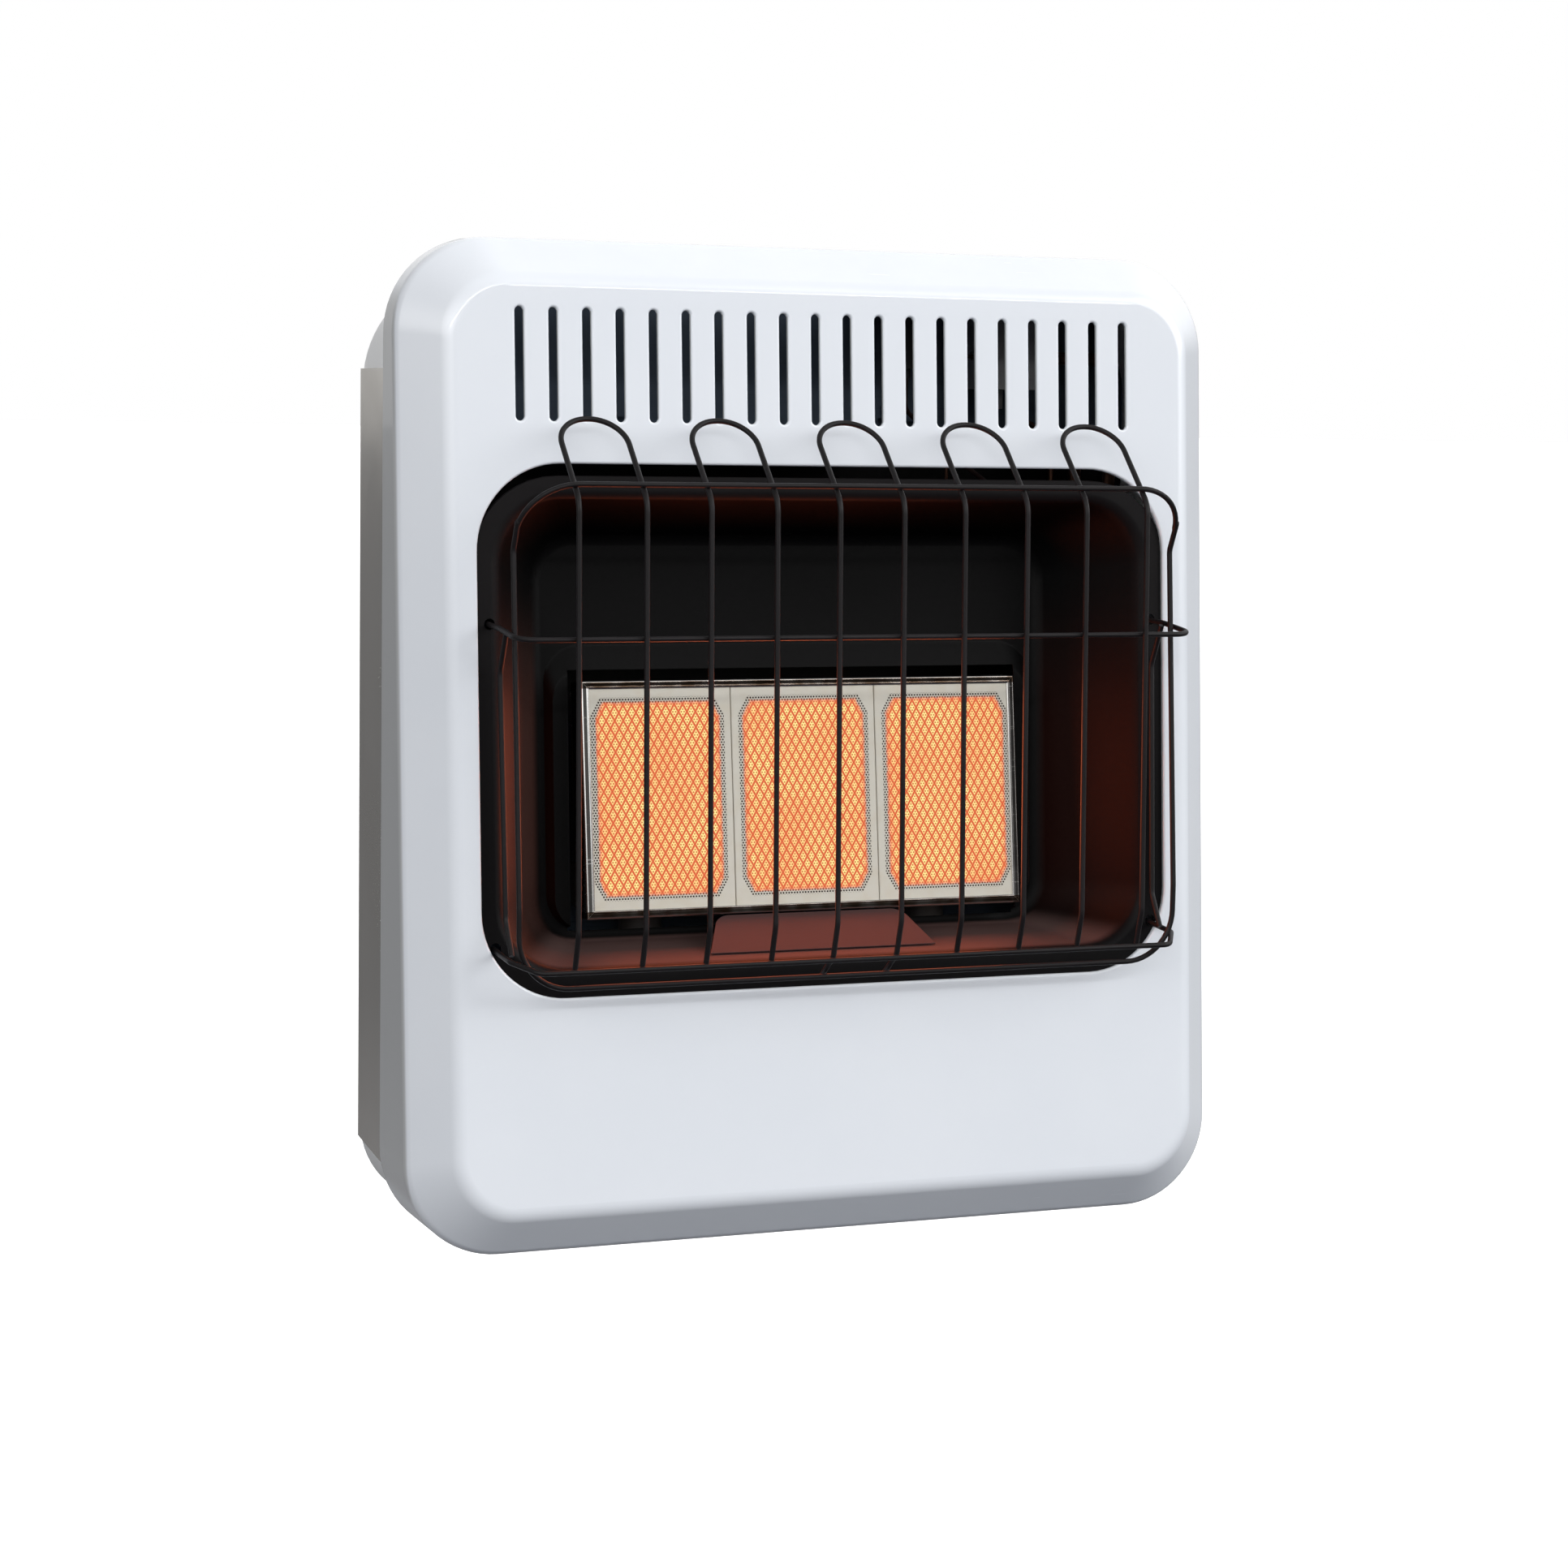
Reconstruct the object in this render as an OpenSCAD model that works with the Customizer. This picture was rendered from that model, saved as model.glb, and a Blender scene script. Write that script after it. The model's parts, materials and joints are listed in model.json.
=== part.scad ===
// Wall mounted gas heater with a three-plaque radiant burner behind a wire guard.
// Millimetres. +Z up, +X to the right seen from the front, the front faces -Y and the wall is the plane
// Y = 0. The origin is the middle of the bracket's screw line on the wall. Modules draw with Z counted
// from the casing's bottom edge, and hung() moves them to the origin.

/* [Casing] */
// Width of the front casing
casing_w = 512; // [480:1:560]
// Height of the front casing
casing_h = 578; // [560:1:640]
// Corner radius of the casing's outline
casing_r = 55; // [40:1:70]
// Sheet thickness of the casing and the cabinet
sheet_t = 1; // [0.8:0.1:1.6]
// Backward lean of the casing's face, in degrees
lean = 4.1; // [3:0.1:5]
// Distance from the wall to the casing's rim at its bottom edge
rim_low_y = 132.5; // [128:0.5:140]
// Width and depth of the bevel between rim and face
bevel = 27; // [22:0.5:30]
// Distance from the wall to the casing's rear edge
casing_rear_y = 76.7; // [74:0.1:80]

/* [Window and slots] */
// Width of the window
window_w = 432; // [428:1:440]
// Height of the window
window_h = 302.5; // [296:0.5:306]
// Height of the window's middle above the casing's bottom edge, along the face
window_mid = 299.2; // [296:0.2:302]
// Corner radius of the window
window_r = 50; // [40:1:60]
// Depth of the window's turned-in lip
lip_d = 2.8; // [2:0.1:2.8]
// Number of hot air slots
slot_count = 20; // [10:1:20]
// Distance between neighbouring slots
slot_pitch = 19.96; // [12:0.02:20]
// Width of a slot
slot_w = 5.2; // [4:0.1:8]
// Length of a slot
slot_len = 64; // [40:1:66]
// Height of the slots' middle above the casing's bottom edge, along the face
slot_mid = 506.3; // [500:0.1:512]

/* [Cabinet] */
// Width of the cabinet behind the casing
cabinet_w = 494; // [484:1:496]
// Height of the cabinet's top above the casing's bottom edge
cabinet_top = 560; // [556:1:562]
// Height of the cabinet's bottom above the casing's bottom edge
cabinet_bottom = 3; // [2:0.5:6]
// Radius of the cabinet's upper corners
cabinet_top_r = 65; // [50:1:70]
// Radius of the cabinet's lower corners
cabinet_low_r = 50; // [40:1:60]
// Depth of the rear panel behind the cabinet's back edge
rear_inset = 6; // [5:0.5:8]
// Thickness of a side skin
skin_t = 1.4; // [1:0.1:2]
// Height of a side skin's lower edge at the wall
skin_low = 45.6; // [40:0.1:52]
// Highest point of a side skin
skin_high = 503.5; // [480:0.5:510]

/* [Wall bracket] */
// Height of the bracket's screw line above the casing's bottom edge
screw_line = 470; // [440:1:480]
// Distance between the bracket's two wall screws
screw_pitch = 200; // [150:1:240]
// Diameter of the wall screw holes
screw_hole_d = 5.5; // [4.5:0.1:7]
// Length of the bracket
bracket_len = 300; // [260:1:340]
// Height of the bracket
bracket_h = 44; // [36:1:50]
// Thickness of the bracket
bracket_t = 1.5; // [1.2:0.1:2]
// Width of a hook
hook_w = 36; // [24:1:50]

/* [Reflector bowl] */
// Sheet thickness of the bowl
bowl_t = 0.8; // [0.6:0.1:1]
// Width of the flange at the bowl's sides
flange_w = 15.5; // [14:0.5:17]
// Width of the bowl's mouth
mouth_w = 408; // [402:1:410]
// Lower edge of the mouth, along the face
mouth_low = 163.7; // [160:0.1:168]
// Upper edge of the mouth, along the face
mouth_high = 431.9; // [428:0.1:434]
// Corner radius of the mouth
mouth_r = 38; // [30:1:44]
// Depth of the bowl behind its flange
bowl_d = 63; // [58:1:66]
// Width of the bowl's back
back_w = 326; // [322:1:340]
// Lower edge of the bowl's back, along the face
back_low = 175; // [171:0.5:176]
// Upper edge of the bowl's back, along the face
back_high = 411.5; // [400:0.5:414]
// Corner radius of the bowl's back
back_r = 26; // [16:1:30]
// Height of the raised panel round the burner
panel_rise = 6; // [3:0.5:8]

/* [Burner] */
// Width of a ceramic plaque
plaque_w = 92; // [88:0.5:92.4]
// Height of a ceramic plaque
plaque_h = 132; // [124:0.5:134]
// Thickness of a ceramic plaque
plaque_t = 13; // [11:0.5:14]
// Distance between the middles of neighbouring plaques
plaque_pitch = 92.5; // [92.5:0.1:93]
// Tilt of the burner, in degrees
burner_tilt = 7.03; // [6:0.01:8]
// Distance from the wall to the middle of the burner's face
burner_y = 94.8; // [93:0.2:98]
// Height of the burner's middle above the casing's bottom edge
burner_mid = 255.8; // [254:0.2:257]
// Depth of the plenum box behind the plaques
plenum_d = 32; // [26:1:34]
// Width of the chrome bezel's front strip
bezel_w = 5; // [4:0.1:6]
// Sheet thickness of the bezel
bezel_t = 0.6; // [0.4:0.1:0.8]

/* [Gas line] */
// Outside diameter of the main gas pipes
pipe_d = 8; // [6:0.5:10]
// Outside diameter of the pilot pipe
pilot_pipe_d = 4; // [3:0.5:5]
// Outside diameter of the manifold
manifold_d = 16; // [14:0.5:18]
// Outside diameter of a mixer tube
mixer_d = 26; // [22:1:28]
// Diameter of the inlet's flare thread
inlet_thread_d = 15.88; // [12:0.01:20]
// Length of the inlet's flare thread
inlet_thread_len = 12; // [10:0.5:14]

/* [Controls] */
// Distance from the heater's middle plane to the gas control's axis
control_x = 150; // [140:1:155]
// Distance from the wall to the controls' axes
control_y = 38; // [36:0.5:40]
// Distance from the heater's middle plane to the ignitor's axis
ignitor_x = 85; // [80:1:90]
// Diameter of the control knob
knob_d = 38; // [30:1:44]
// Height of the control knob
knob_h = 14; // [12:0.5:16]
// Distance that the knob is pushed in
knob_travel = 4; // [3:0.5:4.5]
// Diameter of the knob's spindle
spindle_d = 8; // [6:0.5:9]
// Diameter of the ignitor button
button_d = 17; // [12:0.5:18]
// Distance that the ignitor button travels
button_travel = 6; // [4:0.5:6.5]

/* [Wire guard] */
// Wire diameter
wire_d = 3.2; // [2.5:0.1:4]
// Number of hairpins
hairpin_count = 5; // [3:1:5]
// Distance between the middles of neighbouring hairpins
hairpin_pitch = 77.7; // [60:0.1:78]
// Distance between the two legs of a hairpin
hairpin_w = 39.6; // [30:0.1:42]
// Distance from the middle plane to the guard's side runs
guard_side_x = 204.5; // [200:0.5:206]
// Distance from the middle plane to the hooks' holes in the flange
hook_x = 208.6; // [207:0.1:210]
// Diameter of a hook's hole in the flange
hook_hole_d = 6.4; // [5:0.1:7]

/* [Hidden] */

$fn = 64;
cut = 1;            // how far a cutter runs past the face that it cuts
seat = 0.05;        // gap between pieces that lie on each other
play = 0.3;         // gap between pieces that are slipped together
corner_steps = 10;  // facets of a round corner in a lofted outline
enamel = "white";
soot = [0.12, 0.12, 0.13];
copper = [0.75, 0.6, 0.45];
zinc = [0.72, 0.73, 0.75];
brass = [0.78, 0.62, 0.30];

// Casing, in the leaning frame of its rim: depth 0 at the rim, negative towards the room.
rim_len = casing_h / cos(lean);
face_d = -bevel;
bevel_steps = [[0, 2], [0.6, -2], [3, -6], [bevel - 6, face_d + 3.4], [bevel - 2, face_d + 0.8],
    [bevel + 3, face_d]];
window_low = window_mid - window_h / 2;
window_high = window_mid + window_h / 2;

// Cabinet
band_front_y = casing_rear_y + 3.5;
collar_d = 8;                               // depth of the band's turned edge inside the casing
collar_in = sheet_t + 0.7;                  // from the casing's outside to that turned edge
rear_face_y = rear_inset + sheet_t;         // front face of the rear panel

// Bowl, in the leaning frame
flange_d = face_d + lip_d + seat;
flange_low = window_low - 3.2;
flange_high = window_high - 6.6;
bowl_back_d = flange_d + bowl_d;
mouth_soft = 4;                             // radius of the bend from flange to bowl
back_soft = 12;                             // radius of the bend from the bowl's sides to its back
panel_w = 315;
panel_low = 177.5;
panel_high = 349;
panel_r = 24;
panel_side = 4;                             // run of the raised panel's sloped edge
panel_ramp = 16;                            // run of the raised panel's slope above the burner
pocket_gap = 4.5;                           // gap between the burner and its pocket in the bowl
pocket_drop = 9;                            // extra gap of that pocket below the burner

// Burner, in its own tilted frame: depth 0 at the bezel's front face, positive towards the wall
plaque_front = bezel_t + seat;
gasket_t = 2;
stack_back = plaque_front + plaque_t + gasket_t;
side_gap = 0.5;                             // soft packing round the row of plaques
stack_w = 2 * plaque_pitch + plaque_w + 2 * side_gap;
stack_h = plaque_h + 6;
bezel_out_w = stack_w + 2 * bezel_t + 2 * seat;
bezel_out_h = stack_h + 2 * bezel_t + 2 * seat;
bezel_d = stack_back + 2;
plenum_flange_t = 1.2;
plenum_w = stack_w - 12;
plenum_h = stack_h - 8;
plenum_back = stack_back + plenum_flange_t + plenum_d;
plenum_wall = 1.2;

// Mixer tubes and manifold below the burner
mixer_x = [-plaque_pitch, 0, plaque_pitch];
mixer_y = 62;                               // distance from the wall to the mixer tubes' axes
mixer_low = 118;
manifold_z = 92;
manifold_len = 2 * plaque_pitch + 110;
orifice_d = 9;
orifice_len = 14;

// Controls on the cabinet's top
shelf_z = cabinet_top - 16;                 // upper face of the control bracket's shelf
shelf_t = 1.5;
valve_w = 42;
valve_depth = 34;
valve_h = 44;
bonnet_d = 20;
bonnet_top = cabinet_top - 3;
neck_d = 14;                                // neck of the bonnet, which the push collar slides on
neck_h = 8.5;
slide_play = 0.06;
collar_od = 18;
collar_h = 3;                               // thickness of the collar's top
collar_skirt = 8;                           // length of the collar's skirt below that
collar_z = bonnet_top + knob_travel + play;
dial_t = 1;
dial_d = knob_d + 14;
knob_z = collar_z + collar_h + 1.5;
ignitor_d = 16;
ignitor_len = 54;

// Upright runs at the right side, from the cabinet's side inwards
riser_x = cabinet_w / 2 - 21;               // supply pipe
burner_riser_x = riser_x - 24;
pilot_riser_x = riser_x - 36;
lead_x = riser_x - 50;
capillary_x = riser_x - 56;
stay_x = riser_x - 76;

// Gas inlet at the cabinet's bottom
regulator_x = riser_x - 61;
regulator_y = 44;
regulator_z = 60;
regulator_d = 46;
regulator_h = 28;
inlet_low = -3;

// Guard: where its wires run in the Y-Z plane, as [distance from the wall, height]
frame_top = [182.2, 441];
frame_step = [168.5, 420];
frame_shoulder = [160.8, 404];
frame_waist = [177.4, 205];
frame_low = [177.4, 160];
hairpin_low = [187.95, 172.85];
hairpin_foot = [170.6, 159.2];
hairpin_chin = [193.6, 193];
hairpin_brow = [186.6, 432];
hairpin_tip = [141.5, 476.5];
middle_hook_z = 361;
middle_leg = [150, 359.8];
middle_front = [185.5, 355.7];
bottom_hook_z = 178;
bottom_hook_in = 1;                         // how much nearer to the middle the bottom hooks are
bottom_leg = [171, 175.5];
bottom_front = [190.9, 171.3];
bottom_front_x = guard_side_x - 8.5;        // where the bottom wire's front run ends
tie_top = [152, 358.8];
tie_high = [140.6, 335];
tie_low = [151.6, 196];
tie_foot = [163, 177.5];
hook_back = 6;                              // how far a hook reaches behind the flange
hook_drop = 1.4;                            // how far a hook lies below the middle of its hole
wire_gap = 0.1;                             // gap between wires that are welded to each other
wire_sides = 10;
pipe_sides = 12;

// --- helpers -------------------------------------------------------------------------------------

module hung() translate([0, 0, -screw_line]) children();

module leaning() translate([0, -rim_low_y, 0]) rotate([-lean, 0, 0]) children();

module at_burner() translate([0, -burner_y, burner_mid]) rotate([-burner_tilt, 0, 0]) children();

// Moves an outline drawn in X and Z so that it stands at depth y and is t thick, towards the wall.
module stand(y, t) translate([0, y + t, 0]) rotate([90, 0, 0]) linear_extrude(t) children();

// Rectangle with round corners, from low to high.
module rounded(w, low, high, r) {
    translate([-w / 2 + r, low]) square([w - 2 * r, high - low]);
    translate([-w / 2, low + r]) square([w, high - low - 2 * r]);
    for (x = [-w / 2 + r, w / 2 - r], y = [low + r, high - r]) translate([x, y]) circle(r);
}

module rounded_centred(w, h, r) rounded(w, -h / 2, h / 2, r);

// Cabinet outline, inset by d all round.
module cabinet_outline(d) {
    half = cabinet_w / 2 - d;
    low = cabinet_bottom + d;
    high = cabinet_top - d;
    rt = cabinet_top_r - d;
    rl = cabinet_low_r - d;
    translate([-half, low + rl]) square([2 * half, high - low - rl - rt]);
    translate([-half + rl, low]) square([2 * (half - rl), rl + cut]);
    translate([-half + rt, high - rt - cut]) square([2 * (half - rt), rt + cut]);
    for (s = [-1, 1]) {
        translate([s * (half - rl), low + rl]) circle(rl);
        translate([s * (half - rt), high - rt]) circle(rt);
    }
}

// Points of a rectangle with round corners, anticlockwise seen from the front.
function outline(w, low, high, r) = [
    for (c = [[w / 2 - r, high - r, 0], [r - w / 2, high - r, 90], [r - w / 2, low + r, 180],
        [w / 2 - r, low + r, 270]], k = [0:corner_steps])
        let (a = c[2] + 90 * k / corner_steps) [c[0] + r * cos(a), c[1] + r * sin(a)]];

// Places an outline upright at y, or in the rim's leaning frame at depth d.
function upright(p, y) = [for (q = p) [q[0], y, q[1]]];
function leant(p, d) = [for (q = p)
    [q[0], d * cos(lean) + q[1] * sin(lean) - rim_low_y, q[1] * cos(lean) - d * sin(lean)]];

// Solid through rings of as many points each, from the rearmost to the foremost.
module loft(rings) {
    n = len(rings[0]);
    last = (len(rings) - 1) * n;
    skin = [for (i = [0:len(rings) - 2], k = [0:n - 1])
        let (a = i * n + k, b = i * n + (k + 1) % n) each [[a, a + n, b + n], [a, b + n, b]]];
    caps = [[for (k = [0:n - 1]) k], [for (k = [n - 1:-1:0]) last + k]];
    polyhedron(points = [for (ring = rings) each ring], faces = concat(skin, caps), convexity = 6);
}

// Upright tube or rod from z0 to z1.
module rod(x, y, z0, z1, d) translate([x, y, z0]) cylinder(d = d, h = z1 - z0);

// Hexagon nut or head, upright.
module hex(x, y, z0, z1, across) translate([x, y, z0]) cylinder(d = across / cos(30), h = z1 - z0, $fn = 6);

// --- bent wire -----------------------------------------------------------------------------------

function unit(v) = v / norm(v);
function turn_at(p, i) = acos(min(1, unit(p[i] - p[i - 1]) * unit(p[i + 1] - p[i])));

// Points of the bend at corner i, with radius r and a point every 15 degrees or so.
function bend(p, i, r) =
    let (u = unit(p[i] - p[i - 1]), v = unit(p[i + 1] - p[i]), turn = turn_at(p, i),
        side = unit(v - u * (u * v)), start = p[i] - u * r * tan(turn / 2),
        steps = max(1, ceil(turn / 15)))
    [for (k = [0:steps]) let (a = turn * k / steps) start + side * r * (1 - cos(a)) + u * r * sin(a)];

// A route's corners with their bends worked in.
function route(p, radii) = [
    for (i = [0:len(p) - 1]) each (i == 0 || i == len(p) - 1) ? [p[i]] : bend(p, i, radii[i])];

// Drops points that lie on the one before them.
function spaced(p) = [for (i = [0:len(p) - 1]) if (i == 0 || norm(p[i] - p[i - 1]) > 0.02) p[i]];

function along(p, i, closed) =
    let (n = len(p), a = closed ? p[(i + n - 1) % n] : p[max(0, i - 1)],
        b = closed ? p[(i + 1) % n] : p[min(n - 1, i + 1)])
    unit(unit(p[i] == a ? b - a : p[i] - a) + unit(p[i] == b ? b - a : b - p[i]));

// Side directions carried along the route without twist.
function carried(p, closed, i = 0, done = []) =
    i == len(p) ? done :
    let (t = along(p, i, closed), seed = abs(t[0]) < 0.9 ? [1, 0, 0] : [0, 0, 1],
        last = i == 0 ? seed : done[i - 1], side = unit(last - t * (t * last)))
    carried(p, closed, i + 1, concat(done, [side]));

// Round wire of radius r along points p; closed joins the last ring to the first.
module sweep(p, r, sides, closed = false) {
    n = len(p);
    side = carried(p, closed);
    rings = [for (i = [0:n - 1]) let (t = along(p, i, closed), s = side[i], w = cross(t, s))
        for (k = [0:sides - 1]) let (a = 360 * k / sides) p[i] + r * (s * cos(a) + w * sin(a))];
    spans = closed ? n : n - 1;
    skin = [for (i = [0:spans - 1], k = [0:sides - 1])
        let (j = (i + 1) % n, m = (k + 1) % sides)
        each [[i * sides + k, j * sides + m, i * sides + m], [i * sides + k, j * sides + k, j * sides + m]]];
    ends = closed ? [] : [[for (k = [0:sides - 1]) k], [for (k = [sides - 1:-1:0]) (n - 1) * sides + k]];
    polyhedron(points = rings, faces = concat(skin, ends), convexity = 6);
}

module wire(p, radii, d = wire_d, sides = wire_sides) sweep(spaced(route(p, radii)), d / 2, sides);

// Corner of a wire's route at x, from a [distance from the wall, height] pair.
function at(x, yz) = [x, -yz[0], yz[1]];
function mirrored(p) = [for (i = [len(p) - 1:-1:0]) [-p[i][0], p[i][1], p[i][2]]];
function reversed(v) = [for (i = [len(v) - 1:-1:0]) v[i]];

// --- casing and cabinet --------------------------------------------------------------------------

// Solid wedge of the casing, shrunk by t all round; a shrunk one runs out at the rear.
module casing_block(t) {
    rear = t > 0 ? cut : 0;
    loft(concat([upright(outline(casing_w - 2 * t, t, casing_h - t, casing_r - t), rear - casing_rear_y)],
        [for (s = bevel_steps) leant(outline(casing_w - 2 * (s[0] + t), s[0] + t, rim_len - s[0] - t,
            casing_r - t - s[0] * 0.8), s[1] + t)]));
}

// Window's outline, grown by t all round.
module window_outline(t) rounded(window_w + 2 * t, window_low - t, window_high + t, window_r + t);

module front_casing() {
    color(enamel) hung() difference() {
        union() {
            difference() {
                casing_block(0);
                casing_block(sheet_t);
            }
            leaning() stand(face_d + sheet_t / 2, lip_d - sheet_t / 2) window_outline(sheet_t);
        }
        leaning() stand(face_d - cut, lip_d + 2 * cut) window_outline(0);
        leaning() stand(face_d - cut, sheet_t + 2 * cut)
            for (i = [0:slot_count - 1]) translate([(i - (slot_count - 1) / 2) * slot_pitch, slot_mid])
                rounded_centred(slot_w, slot_len, slot_w / 2 - seat / 10);
        for (x = screw_xs) rod(x, -screw_y, -cut, sheet_t + cut, casing_screw_d + 0.6);
    }
}
screw_xs = [-150, 150];
screw_y = casing_rear_y + 8;
casing_screw_d = 3.5;

// Outline of the band's turned edge inside the casing.
module collar_outline(d) rounded(casing_w - 2 * (collar_in + d), collar_in + d,
    casing_h - collar_in - d, casing_r - collar_in - d);

// Cuts a slot w wide and len long through a level sheet whose underside is at z.
module vent(x, z, w, len) translate([x, -62, z - cut]) cube([w, len, sheet_t + 2 * cut]);

module cabinet_band() {
    color("gainsboro") hung() difference() {
        union() {
            stand(-band_front_y, band_front_y) difference() {
                cabinet_outline(0);
                cabinet_outline(sheet_t);
            }
            stand(-band_front_y - sheet_t, sheet_t) difference() {
                collar_outline(0);
                cabinet_outline(sheet_t + 6);
            }
            stand(-band_front_y - collar_d, collar_d) difference() {
                collar_outline(0);
                collar_outline(sheet_t);
            }
        }
        rod(control_x, -control_y, shelf_z, cabinet_top + cut, collar_od + 4);
        rod(ignitor_x, -control_y, shelf_z, cabinet_top + cut, ignitor_d + 2 * play);
        rod(regulator_x, -regulator_y, cabinet_bottom - cut, cabinet_bottom + 2 * sheet_t, 34);
        for (x = screw_xs) rod(x, -screw_y, 0, 2 * sheet_t + 2 * play + cut, casing_screw_d);
        for (x = [-160:20:regulator_x - 45]) vent(x, cabinet_bottom, 8, 40);
        for (x = [-150:24:42]) vent(x, cabinet_top - sheet_t, 12, 44);
    }
}

// Sheet that covers a side of the cabinet, with its lower edge a little deeper at the front
module side_skin(s) {
    depth = casing_rear_y - 3;
    drop = 8;
    x0 = cabinet_w / 2 + seat;
    color("silver") hung() scale_x(s) translate([x0, 0, 0]) rotate([90, 0, 90]) linear_extrude(skin_t)
        polygon([[0, skin_low], [-depth, skin_low - drop], [-depth, skin_high], [0, skin_high]]);
}

module scale_x(s) if (s < 0) mirror([1, 0, 0]) children(); else children();

module side_skin_left() side_skin(-1);
module side_skin_right() side_skin(1);

tongue_z = screw_line + 8;      // lower face of a hook's tongue
slot_h = 12;                    // height of the slot that a hook reaches through

hook_x0 = bracket_len / 2 - 50; // distance from the middle plane to the middle of a hook

// Slot in the rear panel, whose upper edge hangs on a hook's tongue.
module hook_slot(s) translate([s * hook_x0 - hook_w / 2 - 2, tongue_z + bracket_t + seat - slot_h])
    square([hook_w + 4, slot_h]);

module rear_panel() {
    color(zinc) hung() difference() {
        union() {
            stand(-rear_face_y, sheet_t) cabinet_outline(sheet_t + seat);
            stand(-rear_face_y - 9, 9 + sheet_t) difference() {
                cabinet_outline(sheet_t + seat);
                cabinet_outline(2 * sheet_t + seat);
            }
        }
        stand(-rear_face_y - cut, sheet_t + 2 * cut) for (s = [-1, 1]) hook_slot(s);
        for (x = [-180:30:180]) translate([x - 4, -rear_face_y - cut, 24]) cube([8, sheet_t + 2 * cut, 34]);
        rod(regulator_x, -regulator_y, cabinet_bottom, cabinet_bottom + 4 * sheet_t, 34);
        for (x = [control_x, ignitor_x]) rod(x, -control_y, cabinet_top - 4 * sheet_t, cabinet_top, 22);
    }
}

module wall_bracket() {
    color(zinc) hung() {
        difference() {
            stand(-bracket_t, bracket_t)
                rounded(bracket_len, screw_line - bracket_h / 2, screw_line + bracket_h / 2, 4);
            for (s = [-1, 1]) translate([s * screw_pitch / 2, cut, screw_line]) rotate([90, 0, 0])
                cylinder(d = screw_hole_d, h = bracket_t + 2 * cut);
        }
        for (s = [-1, 1]) translate([s * hook_x0 - hook_w / 2, -rear_face_y - bracket_t - play, tongue_z]) {
            cube([hook_w, rear_face_y + play, bracket_t]);
            cube([hook_w, bracket_t, slot_h - 3]);
        }
    }
}

shield_y = 24;
shield_w = 400;
shield_low = 110;
shield_high = 440;
shield_foot_x = 180;            // distance from the middle plane to the shield's feet
shield_foot_z = [150, 400];     // heights of the feet's lower edges

// Cuts the slot that an arm reaches through the heat shield.
module arm_slot(x, low, h) translate([x - 3, -shield_y - cut, low - 2]) cube([6, sheet_t + 2 * cut, h + 4]);

// Sheet between the burner and the rear panel, on four hollow feet
module heat_shield() {
    foot = 10;
    foot_h = 18;
    color(zinc) hung() difference() {
        union() {
            stand(-shield_y, sheet_t) rounded(shield_w, shield_low, shield_high, 10);
            for (x = [-shield_foot_x, shield_foot_x], z = shield_foot_z)
                translate([x - foot / 2, -shield_y + sheet_t, z])
                difference() {
                    cube([foot, shield_y - sheet_t - rear_face_y - seat, foot_h]);
                    translate([sheet_t, -cut, sheet_t])
                        cube([foot - 2 * sheet_t, shield_y, foot_h - 2 * sheet_t]);
                }
        }
        for (s = [-1, 1]) {
            arm_slot(s * (arm_x + arm_t / 2), burner_mid - arm_h / 2, arm_h);
            arm_slot(s * (stay_x + arm_t / 2), stay_low, stay_h);
        }
    }
}

// Sloped sheet above the bowl that turns the hot air to the slots
module top_baffle() {
    low = 451;
    rise = 15;
    front_y = 72;
    color(zinc) hung() rotate([90, 0, 90]) translate([0, 0, -205]) linear_extrude(267)
        polygon([[-rear_face_y - seat, low], [-rear_face_y - seat, low + rise],
            [-rear_face_y - sheet_t - seat, low + rise], [-rear_face_y - sheet_t - seat, low + 1.4],
            [-front_y, low + rise], [-front_y, low + rise - sheet_t]]);
}

// --- bowl ----------------------------------------------------------------------------------------

// Bowl's outline at depth d, shrunk by s all round.
function bowl_outline(d, s) =
    let (f = (d - flange_d) / bowl_d, low = mouth_low + (back_low - mouth_low) * f + s,
        high = mouth_high + (back_high - mouth_high) * f - s)
    outline(mouth_w + (back_w - mouth_w) * f - 2 * s, low, high, mouth_r + (back_r - mouth_r) * f - s * 0.8);

// Solid inside the bowl's front skin, or with t inside its back skin.
// Its mouth is rounded outwards and its back corner inwards.
module bowl_block(t) {
    r = mouth_soft - t;
    q = back_soft + t;
    back = [for (a = [90:-30:0]) [bowl_back_d - back_soft + q * sin(a), back_soft - q * cos(a)]];
    mouth = [for (a = [90:-30:0]) [flange_d + mouth_soft - r * cos(a), r * sin(a) - mouth_soft]];
    start = [flange_d + (t > 0 ? t / 2 : -cut), -mouth_soft];
    lift = t > 0 ? 0 : -0.03;
    loft([for (s = concat(back, mouth, [start]))
        leant(bowl_outline(s[0], s[1]), s[0] + (s == mouth[3] ? lift : 0))]);
}

// Raised panel round the burner; t moves it towards the wall to hollow it out.
module bowl_panel(t) {
    in = t / 3;
    foot = outline(panel_w - 2 * in, panel_low + in, panel_high - in, panel_r - in);
    top = outline(panel_w - 2 * panel_side - 2 * in, panel_low + panel_side + in,
        panel_high - panel_ramp - in, panel_r - panel_side - in);
    loft([leant(foot, bowl_back_d + (t > 0 ? t + cut : 0.02)), leant(top, bowl_back_d - panel_rise + t)]);
}

// Cuts a hook's hole through the bowl's flange.
module hook_hole(x, h) translate([x, flange_d - cut, h]) rotate([-90, 0, 0])
    cylinder(d = hook_hole_d, h = bowl_t + 2 * cut);

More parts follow.
